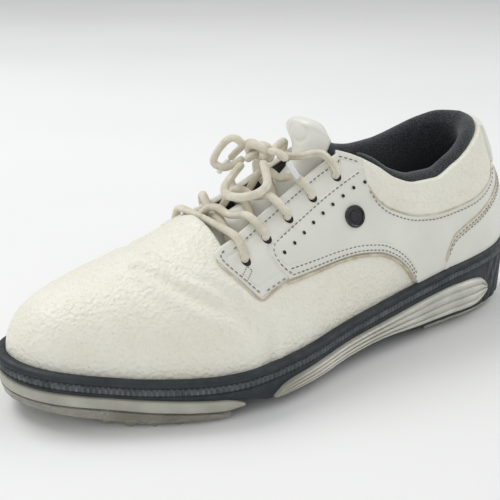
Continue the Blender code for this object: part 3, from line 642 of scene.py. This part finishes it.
def build_vamp():
    """One pebbled hide: whole sections in front of the throat, a wing down each side behind it."""
    throat = np.sqrt(THROAT_Y - TOE_Y)
    front = np.linspace(0.03, throat - 0.12, 110)
    lip = throat - np.array([0.09, 0.06, 0.035, 0.015, 0.0])
    rear = np.linspace(throat, np.sqrt(60 - TOE_Y), 80)[1:]
    stations = np.concatenate([front, lip, rear])
    y = TOE_Y + stations ** 2
    edge = angle_at(np.maximum(y, THROAT_Y), curve_at(WING_EDGE, y))
    edge = np.where(y < THROAT_Y, edge[len(front) + 4], edge)[:, None]
    side = edge * np.linspace(-0.02, 1, 44)
    middle = edge + (pi - 2 * edge) * np.linspace(0, 1, 90)[1:-1]
    w = np.concatenate([side, middle, pi - side[:, ::-1]], 1)
    s = np.broadcast_to(stations[:, None], w.shape)
    keep = np.ones((w.shape[0] - 1, w.shape[1] - 1), bool)
    keep[len(front) + 4:, 43:-43] = False
    base = nose(s, w)
    out = crease_relief(base) + wrinkles(base)
    part = np.clip((throat - stations) / 0.09, 0, 1)
    rolled = 1.2 * (np.sqrt(1 - (1 - part) ** 2) - 1)
    out[:, 44:-44] += rolled[:, None]
    made = add_grid("vamp_hide", lifted(nose, s, w, out, 0.004), PEBBLED, keep=keep)
    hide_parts("vamp")


def facing_low(p):
    return np.interp(near_side(p), *np.array(FACING_FRONT).T)


def facing_bottom(p):
    q = near_side(p)
    return np.where(q < -28, facing_low(p), np.where(q < 24, curve_at(FACING_SEAM, q) - 2.0,
                                                     curve_at(FACING_SEAM, 24) - 2.0))


def saddle_bottom(p):
    q = near_side(p)
    front = np.interp(q, *np.array(SADDLE_FRONT).T)
    rear = np.where(q < 59, curve_at(SADDLE_EDGE, q), feather(p) - 0.5)
    rear = np.where(q < COUNTER_FRONT, rear, curve_at(COUNTER_EDGE, q) - 3.0)
    return np.where(q < -27.5, front, rear)


def saddle_top(p):
    q = near_side(p)
    rear = np.where(q < TAB_FRONT, curve_at(COLLAR_SEAM, q), curve_at(TAB_EDGE, q))
    return np.where(q < COLLAR_FRONT, curve_at(FACING_SEAM, q) + SEAM_RISE, rear)


def edge_step(p, z, near):
    """A folded strip along an edge: a shallow groove 4 mm in, and a soft swell inside it."""
    return dip(near - 4.3, 0.28, 0.5) + 0.25 * np.clip((near - 5) / 8, 0, 1)


def saddle_relief(p, z, near):
    low = z - saddle_bottom(p)
    strip = np.where(near_side(p) < 58, dip(low - 5.2, 0.35, 0.45) + dip(low - 2.4, 0.15, 0.5), 0)
    return strip + 0.35 * np.sin(np.clip((z - 56) / 20, 0, 1) * pi) * (near_side(p) < 60)


def collar_bottom(p):
    return curve_at(COLLAR_SEAM, near_side(p)) - 1.5


def padded_relief(p, z, near):
    """Padding under the collar panel swells it between its seams."""
    return 1.6 * np.clip(near / 9, 0, 1) ** 0.7


def build_panels():
    parts = {"facing": both("facing_hide", (FACING_FRONT_P, 28), facing_bottom, top_line, 1.5, -1.5, SMOOTH,
                            cols=130, rows=50, relief=edge_step, free=(True, False, True, True)),
             "saddle": both("saddle_hide", (SADDLE_FRONT_P, 140), saddle_bottom, saddle_top, 2.0, 0.0, SMOOTH,
                            cols=230, rows=44, relief=saddle_relief),
             "collar_panel": both("collar_hide", (27.4, 126), collar_bottom, collar_line, 1.4, -1.2,
                                  PEBBLED, cols=150, rows=40, relief=padded_relief)}
    for node, pair in parts.items():
        for side, piece in zip(("lateral", "medial"), pair):
            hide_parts(node + "_" + side)
    counter = panel("counter_hide", (COUNTER_FRONT, mirrored(COUNTER_FRONT)), lambda p: feather(p) - 0.5,
                    lambda p: curve_at(COUNTER_EDGE, near_side(p)), 2.5, 0.2, SMOOTH, cols=170, rows=36,
                    relief=edge_step, free=(True, True, False, True))
    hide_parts("heel_counter")
    tab = panel("heel_tab_hide", (TAB_FRONT, mirrored(TAB_FRONT)),
                lambda p: curve_at(TAB_EDGE, near_side(p)) - 1.5, collar_line, 2.8, -1.5, SMOOTH,
                cols=90, rows=34, relief=padded_relief)
    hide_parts("heel_tab")


def build_lining():
    """Dark lining: the quarters' inside up to the lacing edge, and the padded collar over its roll."""
    p = np.concatenate([np.linspace(-54, 32, 70), np.linspace(32, P_BACK, 90)[1:]])
    p = np.concatenate([p, mirrored(p[:-1])[::-1]])[:, None]
    top = top_line(p) - 0.5
    z = feather(p) + 1 + (top - feather(p) - 1) * np.linspace(0, 1, 40)[None, :]
    p = np.broadcast_to(p, z.shape)
    out = -3.4 + 1.6 * np.clip((z - top + 1.2) / 1.2, 0, 1) ** 2
    inner = lifted(wall, p, z, out)
    made = add_grid("quarter_inside", inner, LINING, flip=True)
    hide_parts("quarter_lining")

    profile = flowing([(-0.6, -2.5), (-0.7, 0.2), (-1.6, 2.6), (-4.2, 4.4), (-7.2, 3.6),
                       (-9.3, 0), (-10.2, -6), (-10.0, -13), (-8.8, -20), (-6.0, -27),
                       (-3.8, -34)], 0.7)
    p = np.linspace(COLLAR_FRONT, mirrored(COLLAR_FRONT), 330)[:, None]
    ends = np.clip(np.minimum(p - COLLAR_FRONT, mirrored(COLLAR_FRONT) - p) / 8, 0, 1)
    swell = 0.35 + 0.65 * np.sqrt(1 - (1 - ends) ** 2)
    out = profile[None, :, 0] * swell
    rise = np.maximum(profile[None, :, 1], 0) * swell
    z = collar_line(p) + np.minimum(profile[None, :, 1], 0)
    z = np.maximum(z, feather(p) + 3)
    roll = lifted(wall, np.broadcast_to(p, z.shape), z, out)
    roll[..., 2] += rise
    made = add_grid("collar_padding", roll, LINING)
    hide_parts("collar_roll", "collar_lining", "collar_foam")


def build_edges():
    """Raw folded edges and piping, seen as thin warm lines round the panels."""
    lines = []

    def edge(side, q, z, out):
        lines.append(lifted(wall, on_side(side, q), z, out))

    for side in (1, -1):
        q = np.linspace(-57, COLLAR_FRONT, 90)
        edge(side, q, top_line(on_side(side, q)) - 0.1, -1.3)
        front = flowing(FACING_FRONT[:4] + [(-36, 50.6), (-28, 52.6)], 1.0)
        edge(side, front[:, 0], front[:, 1] - 0.2, 0.45)
        q = np.linspace(28, TAB_FRONT, 150)
        edge(side, q, curve_at(COLLAR_SEAM, q) + 0.3, 1.9)
        q = np.linspace(79, 154.8, 120)
        for drop, out in ((0.1, 2.2), (2.6, 2.3)):
            edge(side, q, curve_at(COUNTER_EDGE, q) - drop, out)
        q = np.linspace(124.5, 154.8, 60)
        edge(side, q, curve_at(TAB_EDGE, q) - 1.2, 2.2)
    made = add_tubes("panel_edges", lines, 0.5, EDGE, sides=8)
    for name, side in (("lateral", 1), ("medial", -1)):
        q = np.linspace(-29, 57.5, 110)
        path = lifted(wall, on_side(side, q), curve_at(SADDLE_EDGE, q) - 1.2, 0.5)
        piping = add_tube("piping_cord_" + name, path, 0.85, EDGE, sides=10)
        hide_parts("piping_" + name)


SEAM_FRONT = [(-52.5, 67.6), (-55.4, 65.8), (-55.2, 63.8), (-52.4, 60), (-44.6, 50.8)]
SEAM_SADDLE = [(25, 92.3), (-3, 79.6), (-26, 69.2), (-30, 66.7), (-31.2, 63.4), (-29.2, 58.6),
               (-25.6, 55.0)]
BAR_TACK = [(-51, 57.6), (-46.3, 61.3), (-44.8, 59.5), (-49.5, 55.8)]


def build_stitching():
    lines, tacks = [], []

    def along(table, shift, start, end, out, count=60):
        lines.append(line_between(lambda p: curve_at(table, near_side(p)) + shift, start, end, out,
                                  side, count))

    for side in (1, -1):
        lines.append(line_between(lambda p: top_line(p) - 3.4, -49, 26, 1.75, side))
        lines.append(wall_line(SEAM_FRONT, 1.75, side))
        lines.append(wall_line(SEAM_SADDLE, 2.25, side))
        lines.append(wall_line([(-41.5, 50.9), (-35, 52.6), (-29, 54.2)], 1.75, side))
        for start, end in zip(BAR_TACK, BAR_TACK[1:]):
            tacks.append(wall_line([start, end], 1.85, side, 0.4))
        for rise in (1.4, 3.9):
            along(SADDLE_EDGE, rise, -26, 57, 2.15)
        along(COLLAR_SEAM, -2.4, 28, 123, 2.45, 90)
        for drop in (1.6, 3.8):
            along(COUNTER_EDGE, -drop, 81, 154.5, 2.6, 80)
        along(TAB_EDGE, 0.4, 126, 154.5, 3.2)
    made = add_stitches("seam_stitching", lines, THREAD)
    made = add_stitches("bar_tacks", tacks, THREAD, pitch=1.2, length=0.9, radius=0.22)


HOLE_SIDES = 20   # points round each disc


def build_holes():
    """Perforations along the saddle, and the mouths of the eyelets, as near-black discs on unpierced leather:
    the dark lining seen through each hole plus painted shade inside it.
    """
    turn = np.linspace(0, 2 * pi, HOLE_SIDES, endpoint=False)
    points, faces = [], []
    for side in (1, -1):
        spots = [(q, curve_at(FACING_SEAM, q) - 2.4, 0.85, 2.5) for q in np.linspace(-26.4, 26.4, 9)]
        spots += [(q + 0.2, z - 0.7, 2.25, 1.72) for q, z in EYELETS]
        for q, z, radius, out in spots:
            a = np.append(radius * np.cos(turn), 0) + on_side(side, q)
            b = np.append(radius * np.sin(turn) * 0.93, 0) + z
            start = len(points) * (HOLE_SIDES + 1)
            points.append(lifted(wall, a, b, out))
            faces += [(start + i, start + (i + 1) % HOLE_SIDES, start + HOLE_SIDES)
                      for i in range(HOLE_SIDES)]
    made = add_mesh("hole_shade_discs", np.vstack(points), faces, HOLE_SHADE)


def build_tongue():
    """Padded tongue: light face rolled round its edge, and the dark lining showing behind it."""
    c = eased(np.array([1.0]) * 70, 70)[0] / 70 * 0.985 + 0.008
    v = 1 - eased(np.array([1.0]) * 44, 50)[0] / 44 * 2
    cc, vv = np.meshgrid(c, v, indexing="ij")
    near = np.minimum((1 - np.abs(vv)) * 20, (0.993 - cc) * 62)
    cc = cc - 0.11 * np.abs(vv) ** 5 * cc ** 8
    for name, face, back, look, nodes in (
            ("tongue_face", 0.3, -4.4, SMOOTH, ("tongue_shell", "tongue_foam")),
            ("tongue_back", -5.9, -4.2, LINING, ("tongue_lining",))):
        part = np.clip(near / 2.6, 0, 1)
        out = back + (face - back) * np.sqrt(1 - (1 - part) ** 2)
        if face > 0:
            emblem = np.hypot((cc - 0.90) * 62 / 3.6, vv * 16 / 6.5)
            out = out + 1.2 * np.exp(-((cc - 0.80) / 0.2) ** 2) * (1 - vv ** 2) * 0.5
            out = out + dip((emblem - 1) * 4, 0.45, 0.55) + dip(near - 3.4, 0.18, 0.5)
        made = add_grid(name, lifted(tongue, cc, vv, -out, 0.003), look, flip=face > 0)
        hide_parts(*nodes)


# ---------------------------------------------------------------- sole
def sole_top(y):
    return curve_at(FEATHER_Z, y)


def midsole_bottom(y):
    return curve_at([(-150, 20.5), (-130, 17.8), (-120, 16.5), (-95, 13.4), (-70, 11.0), (-60, 9.5),
                     (-48, 5.5), (-38, 5.0), (0, 8.0), (40, 7.5), (62, 5.2), (125, 5.2), (150, 9)], y)


def insert_bottom(y):
    return curve_at([(-150, 14.5), (-130, 11.8), (-120, 10.6), (-95, 7.0), (-70, 5.1), (-60, 4.6)], y)


def outline(step):
    """Closed ring of plan points round the upper's lower edge, with outward normals."""
    root = np.linspace(0, np.sqrt(HEEL_Y - TOE_Y), 400)
    p = np.concatenate([TOE_Y + root ** 2, np.linspace(HEEL_Y, P_BACK, 140)[1:]])
    ring = np.vstack([wall(p, feather(p))[:, :2], wall(mirrored(p), feather(p))[::-1, :2][1:-1]])
    closed = np.vstack([ring, ring[:1]])
    run = run_of(closed)
    places = np.linspace(0, run[-1], int(run[-1] / step), endpoint=False)
    ring = np.column_stack([np.interp(places, run, closed[:, k]) for k in range(2)])
    along = sum(np.roll(ring, -k, 0) - np.roll(ring, k, 0) for k in range(1, 9))
    return ring, unit(np.column_stack([along[:, 1], -along[:, 0]]))


def loft(name, ring, normal, rows, look, closed=True, flip=False):
    """Surface round the outline: each row is (outward offset, height), numbers or arrays."""
    lines = []
    for out, z in rows:
        xy = ring + normal * np.broadcast_to(out, len(ring))[:, None]
        lines.append(np.column_stack([xy, np.broadcast_to(z, len(ring))]))
    return add_grid(name, np.array(lines), look, closed=closed, flip=flip)


RIB_PITCH = 2.4
RIB_STEP = 0.35   # spacing of the points that draw the ribs


def build_midsole():
    ring, normal = outline(RIB_STEP)
    y = ring[:, 1]
    top, low = sole_top(y), midsole_bottom(y)
    run = np.arange(len(ring)) * RIB_STEP
    rib = 0.5 + 0.5 * np.cos(2 * pi * run / RIB_PITCH)
    slot = np.clip((rib - 0.35) / 0.3, 0, 1)
    heel = np.clip((y - 108) / 8, 0, 1)
    rows = [(-3.5, top - 0.5), (-1.0, top + 0.6), (0.6, top + 1.5), (2.4, top + 1.9), (4.0, top + 1.5),
            (4.8, top + 0.7), (RIM, top), (4.9, top - 0.6), (4.4, top - 1.0), (3.5, top - 1.3),
            (3.4, top - 1.6), (3.6, top - 1.8)]
    knurled = []
    for part in (0.0, 0.1, 0.25, 0.5, 0.75, 0.9, 1.0):
        hump = np.sqrt(max(0.0, 1 - (2 * part - 1) ** 4))
        knurled.append((3.6 + 1.25 * slot * hump, top - 1.9 - 3.0 * part))
    rows += [(3.45, top - 2.0), (3.45, top - 4.8)]
    ribs = loft("midsole_ribs", ring, normal, knurled, RIBBED, flip=True)
    rows += [(3.5, top - 5.1), (3.5, top - 5.4), (4.2, top - 5.6)]
    for part in (0.1, 0.4, 0.65, 0.9, 1.0):
        lean = 4.3 - 1.2 * part
        groove = 1.0 * heel * np.exp(-((np.mod(run * 0.8 + 9 * part, 7.5) - 3.7) / 0.9) ** 2)
        rows.append((lean - groove, top - 5.7 + (low - top + 5.7) * part))
    rows += [(1.5, low - 0.02), (-12, low - 0.02)]
    made = loft("midsole_wall", ring, normal, rows, MIDSOLE, flip=True)
    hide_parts("midsole")
    ring, normal = outline(2.0)
    low = midsole_bottom(ring[:, 1])
    base = [(4.0 - 1.2, low), (-8, low), (-16, low), (-24, low), (-29, low)]
    loft("midsole_underside", ring, normal, base, MIDSOLE, flip=True)


def part_of_ring(ring, normal, back):
    """The outline's open stretch in front of y = back, from the lateral to the medial side."""
    order = np.roll(np.arange(len(ring)), len(ring) // 2)
    keep = [k for k in order if ring[k, 1] < back]
    return ring[keep], normal[keep]


INSERT_BACK = -60.0   # y where the frosted band runs out to its points


def build_insert():
    """Frosted band round the forefoot, running out to a point on each side."""
    ring, normal = part_of_ring(*outline(0.8), INSERT_BACK)
    y = ring[:, 1]
    taper = np.clip((INSERT_BACK - y) / 9, 0, 1)
    top = midsole_bottom(y) - 0.2
    low = insert_bottom(y)
    tip = (top + 0.2 * low) / 1.2 - 2.2
    top = tip + (top - tip) * np.sqrt(taper)
    low = tip + (low - tip) * np.sqrt(taper)
    rows = []
    for part in (0, 0.06, 0.15, 0.35, 0.6, 0.8, 0.92, 1.0):
        bulge = np.sqrt(max(0.0, 1 - (2 * part - 1) ** 6))
        rows.append((2.4 + (1.9 - 0.5 * part) * bulge * (0.4 + 0.6 * taper), top + (low - top) * part))
    rows = [(0.5, top - 0.2)] + rows + [(0.5, low + 0.1)]
    made = loft("forefoot_band", ring, normal, rows, FROSTED, closed=False, flip=True)
    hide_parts("forefoot_insert")


WING_FRONT, WING_BACK = -46.0, 107.5


def build_wings():
    """Ridged blade along each side of the waist and heel."""
    top_edge = [(-46, 6.2), (-40, 10.5), (-34, 12.0), (0, 15.5), (31, 18), (93, 24.5), (101, 23), (108, 15)]
    low_edge = [(-46, 5.6), (-20, 6.5), (27, 9), (60, 7.5), (95, 7.5), (108, 13.5)]
    for name, side in (("lateral", 1), ("medial", -1)):
        q = np.linspace(WING_FRONT, WING_BACK, 150)
        p = on_side(side, q)
        along = wall(p + 0.01, feather(p))[:, :2] - wall(p - 0.01, feather(p))[:, :2]
        normal = unit(np.column_stack([along[:, 1], -along[:, 0]]))
        plan = wall(p, feather(p))[:, :2]
        part = np.linspace(0, 1, 61)[None, :]
        low, top = curve_at(low_edge, q)[:, None], curve_at(top_edge, q)[:, None]
        z = low + (top - low) * part
        ends = np.clip(np.minimum(q - WING_FRONT, WING_BACK - q) / 7, 0, 1)[:, None]
        flute = np.abs(np.sin(pi * 4 * part ** 0.9)) ** 0.55
        closing = np.sqrt(np.clip(1 - (2 * part - 1) ** 8, 0, 1))
        out = 2.4 + (RIM - 2.4 - 0.4 + 2.0 * flute) * closing * (0.55 + 0.45 * np.sqrt(ends))
        xy = plan[:, None, :] + normal[:, None, :] * out[..., None]
        grid = np.concatenate([xy, z[..., None]], -1)
        made = add_grid("wing_blade_" + name, grid, FROSTED, flip=side < 0)
        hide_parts("wing_" + name)


# ---------------------------------------------------------------- lace and fittings
OVERLAY = 1.5     # outer face of the overlays over the lasted surface
GAP = 0.3
CROSS_LOW = 1.4   # clearance between the lace and the tongue where strands cross
# heights of the lace outside and inside an eyelet
OVER = OVERLAY + GAP + LACE_D / 2 + 0.3
UNDER = -3.4 - GAP - LACE_D / 2 - 0.3
KNOT = np.array([-3.0, -15.0, 103.0])
LOOP_FRONT = [(4, -18, 100.5), (10, -20, 96), (15, -23, 92), (17, -29, 89.5), (14.5, -36, 88),
              (8, -40, 88), (2, -38, 90), (-2, -31, 94), (-4, -24, 98.5)]
LOOP_BACK = [(-7.5, -21, 106), (-12, -23, 109), (-17, -25, 107), (-21, -28, 101), (-22.5, -29, 95.5),
             (-18, -26, 93.5), (-13, -23, 96), (-9, -20, 99.5)]
TAIL_LATERAL = [(4, -14, 104.5), (9, -14.5, 105.5), (13.5, -14, 105), (15.6, -12.7, 102.9)]
AGLET_LATERAL = [(16.2, -12.3, 102), (21.2, -9.4, 94)]
TAIL_MEDIAL = [(-10, -12, 105), (-17, -11.5, 104.5), (-23, -14, 100), (-27, -16.5, 95)]
AGLET_MEDIAL = [(-27.6, -16.9, 94.2), (-33, -20.5, 86.5)]
STRAND_FROM_5 = [(15.5, 8.5, 102.5), (10.5, 0, 101.5), (6, -6.5, 101.5), (3.2, -9.5, 102)]


def at_eyelet(side, k, out, shift=0.0, ahead=0.0):
    p, z = EYELETS[k - 1]
    return lifted(wall, on_side(side, p - ahead), z + shift, out)


def tongue_height(x, y):
    """Height of the tongue's face under a place in plan."""
    c = np.linspace(0.02, 0.98, 60)
    half = curve_at([(row[0], row[3]) for row in TONGUE], c)
    points = tongue(c, np.clip(x / half, -1, 1))
    return float(np.interp(y, points[:, 1], points[:, 2]))


def crossing(side, k):
    """From behind eyelet k of one side, over the tongue, to the front of eyelet k + 1 of the other."""
    hidden, shown = at_eyelet(side, k, UNDER, 5.0), at_eyelet(-side, k + 1, OVER + 0.3, 6.5, 4.0)
    rest = LACE_D / 2 + (CROSS_LOW if side > 0 else CROSS_LOW + LACE_D + 0.6)
    points = [at_eyelet(side, k, UNDER), hidden]
    for part in (0.3, 0.5, 0.7):
        point = hidden + (shown - hidden) * part
        points.append(np.array([point[0], point[1], tongue_height(point[0], point[1]) + rest]))
    return points + [shown, at_eyelet(-side, k + 1, OVER, 1.4, 0.9), at_eyelet(-side, k + 1, 2.4)]


def lace_route():
    """The laced run: a bar over the front eyelets, and each end crossing the throat up to the fourth."""
    lateral, medial = [], []
    for k in (1, 2, 3):
        side = 1 if k % 2 else -1
        lateral += crossing(side, k)
        medial += crossing(-side, k)
    front = [at_eyelet(1, 1, 2.4), at_eyelet(1, 1, OVER, 1.6), at_eyelet(1, 1, OVER + 0.4, 6.5)]
    back = [at_eyelet(-1, 1, OVER + 0.4, 6.5), at_eyelet(-1, 1, OVER, 1.6), at_eyelet(-1, 1, 2.4)]
    a, b = front[-1], back[0]
    middle = [a + (b - a) * part + (0, 0, 0.8) for part in (0.33, 0.67)]
    ends = [at_eyelet(-1, 4, UNDER)], [at_eyelet(1, 4, UNDER)]
    return ends[0] + lateral[::-1] + front + middle + back + medial + ends[1]


def top_strand(side):
    """From the knot to a top eyelet, and in through it."""
    over = [(side * x - (0.5 if side < 0 else 0), y, z) for x, y, z in STRAND_FROM_5]
    if side < 0:
        over[-1] = (-9.5, -9.5, 103)
    inside = [at_eyelet(side, 5, OVER + 0.3, 1.8), at_eyelet(side, 5, 2.4), at_eyelet(side, 5, -4.2)]
    return over[::-1] + inside


def add_cord(name, points, node):
    """A stretch of the lace: built as a tube in place of its CAD node, which is hidden."""
    apart = [np.linalg.norm(np.subtract(b, a)) > 0.5 for a, b in zip(points, points[1:])]
    path = flowing([p for p, kept in zip(points, [True] + apart) if kept])
    made = add_tube(name, path, LACE_D / 2, LACE, flat=0.88)
    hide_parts(node)
    return made


def ring_about(centre, axis, across, up, start=0.0, turns=1.0, climb=0.0, count=60):
    """Points of a slightly climbing turn of lace about an axis."""
    axis = unit(np.array(axis, float))
    u = unit(np.cross(axis, (0, 0, 1)))
    v = np.cross(u, axis)
    t = np.linspace(0, 2 * pi * turns, count) + start
    lift = climb * (t - t[0]) / (2 * pi)
    return (np.array(centre) + np.outer(np.cos(t), u) * across + np.outer(np.sin(t), v) * up
            + np.outer(lift, axis))


def build_knot():
    """Bow knot: a wrap over the loops, a second turn under it, and the crossing strands inside."""
    wrap = ring_about(KNOT + (0, -1.6, 0.2), (0.25, -0.82, -0.5), 5.2, 4.0, -0.7, 1.0, -1.5)
    under = ring_about(KNOT + (0.4, 2.2, -0.6), (0.1, -0.9, -0.4), 4.6, 3.6, 2.4, 1.05, -1.4)
    core = flowing([(3.8, -17.6, 100.9), (1.2, -15.6, 102.6), (-2.6, -14.4, 103.6), (-6.2, -15.6, 104.8),
                    (-7.8, -19.6, 105.6)])
    second = flowing([(-4.2, -22.6, 99.3), (-3.6, -18.4, 101.6), (-3.0, -14.6, 102.3), (0.8, -12.6, 103.0),
                      (3.8, -13.6, 104.3)])
    third = flowing([(-8.6, -19.4, 99.9), (-6.4, -16.0, 101.6), (-4.4, -12.4, 102.4), (-7.4, -10.6, 103.0),
                     (-9.6, -11.0, 104.6)])
    made = add_tubes("bow_knot", [wrap, under, core, second, third], LACE_D / 2, LACE, flat=0.9)
    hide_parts("lace_knot")
    return made


def build_bow_end(side, path, tip):
    """A short end of the lace below the knot, with its plastic tip."""
    end = add_tube("bow_tail_" + side, flowing(list(path) + [tip[0]]), LACE_D / 2 * 0.95, LACE, flat=0.88)
    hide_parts("lace_tail_" + side)
    cap = add_tube("lace_tip_" + side, np.linspace(tip[0], tip[1], 24), 1.55, AGLET, sides=16)
    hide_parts("aglet_" + side)
    return [end, cap]


def build_lace():
    knot = build_knot()
    lateral = build_bow_end("lateral", TAIL_LATERAL, AGLET_LATERAL)
    medial = build_bow_end("medial", TAIL_MEDIAL, AGLET_MEDIAL)
    add_cord("lace_run", lace_route(), "lace")
    add_cord("lace_top_lateral", top_strand(1), "lace_strand_lateral")
    add_cord("lace_top_medial", top_strand(-1), "lace_strand_medial")
    add_cord("bow_loop_front", LOOP_FRONT, "lace_loop_front")
    add_cord("bow_loop_back", LOOP_BACK, "lace_loop_back")


def build_badge():
    """Small dark metal stud with a raised rim and a plain ring on its face."""
    centre = lifted(wall, *BADGE_AT, 2.3)
    normal = lifted(wall, *BADGE_AT, 3.3) - centre
    u = unit(np.cross(normal, (0, 0, 1)))
    v = np.cross(u, normal)
    radius = BADGE_D / 2
    profile = [(radius - inset, h) for inset, h in
               ((0, -0.8), (0, 0.7), (0.25, 1.05), (0.8, 1.15), (1.15, 0.95), (1.3, 0.55), (2.3, 0.55),
                (2.5, 0.85), (3.0, 0.85), (3.2, 0.55))] + [(0.8, 0.62), (0.02, 0.65)]
    turn = np.linspace(0, 2 * pi, 64, endpoint=False)
    grid = np.array([centre + r * (np.outer(np.cos(turn), u) + np.outer(np.sin(turn), v)) + normal * h
                     for r, h in profile])
    made = add_grid("side_badge", grid, METAL, closed=True)
    made.data.set_sharp_from_angle(angle=0.6)
    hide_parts("badge")


def dress_cad_nodes():
    """Materials for the CAD nodes that stay."""
    looks = {"outsole_forefoot": CLEAR, "outsole_heel": CLEAR, "sockliner": LINING, "vamp_lining": LINING,
             "insole_board": BOARD, "toe_puff": BOARD, "heel_stiffener": BOARD}
    for node, look in looks.items():
        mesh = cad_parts[node].data
        mesh.materials.clear()
        mesh.materials.append(look)


# ---------------------------------------------------------------- stage
def build_stage():
    bpy.context.scene.view_settings.view_transform = "Standard"
    bpy.ops.mesh.primitive_plane_add(size=8)
    floor = bpy.context.object
    floor.name = "floor"
    ground = Look("floor_paper", (0.86, 0.865, 0.87), 0.75)
    ground.tinted(ground.noise(400, 2), (0.85, 0.855, 0.86), (0.88, 0.885, 0.89))
    floor.data.materials.append(ground.made)
    world = bpy.data.worlds.new("studio")
    bpy.context.scene.world = world
    world.use_nodes = True
    background = world.node_tree.nodes["Background"].inputs
    background[0].default_value = (0.96, 0.97, 0.95, 1)
    background[1].default_value = 0.56
    for name, place, size, power in (("key", (-0.9, -0.5, 1.5), 0.9, 14), ("front", (1.2, -1.3, 0.9), 1.4, 5),
                                     ("back", (0.4, 1.4, 1.2), 1.2, 7)):
        light = bpy.data.lights.new(name, "AREA")
        light.size = size
        light.energy = power
        lamp = bpy.data.objects.new(name, light)
        lamp.location = place
        lamp.rotation_euler = (Vector((0, 0, 0.05)) - Vector(place)).to_track_quat("-Z", "Y").to_euler()
        bpy.context.scene.collection.objects.link(lamp)


def build_camera():
    azimuth, elevation, distance = radians(55.8), radians(19.1), 0.478
    target = Vector((-0.0137, -0.0054, 0.0546))
    back = Vector((sin(azimuth) * cos(elevation), -cos(azimuth) * cos(elevation), sin(elevation)))
    right = (-back).cross(Vector((0, 0, 1))).normalized()
    lens = bpy.data.cameras.new("camera")
    lens.angle = radians(30)
    lens.clip_start = 0.01
    lens.shift_x, lens.shift_y = -0.0306, -0.0254
    camera = bpy.data.objects.new("camera", lens)
    turn = Matrix((right, right.cross(-back), back)).transposed().to_4x4()
    turn.translation = target + back * distance
    camera.matrix_world = turn
    bpy.context.scene.collection.objects.link(camera)
    bpy.context.scene.camera = camera


build_stage()
build_camera()
build_lace()
build_vamp()
build_panels()
build_lining()
build_edges()
build_stitching()
build_holes()
build_tongue()
build_midsole()
build_insert()
build_wings()
build_badge()
dress_cad_nodes()
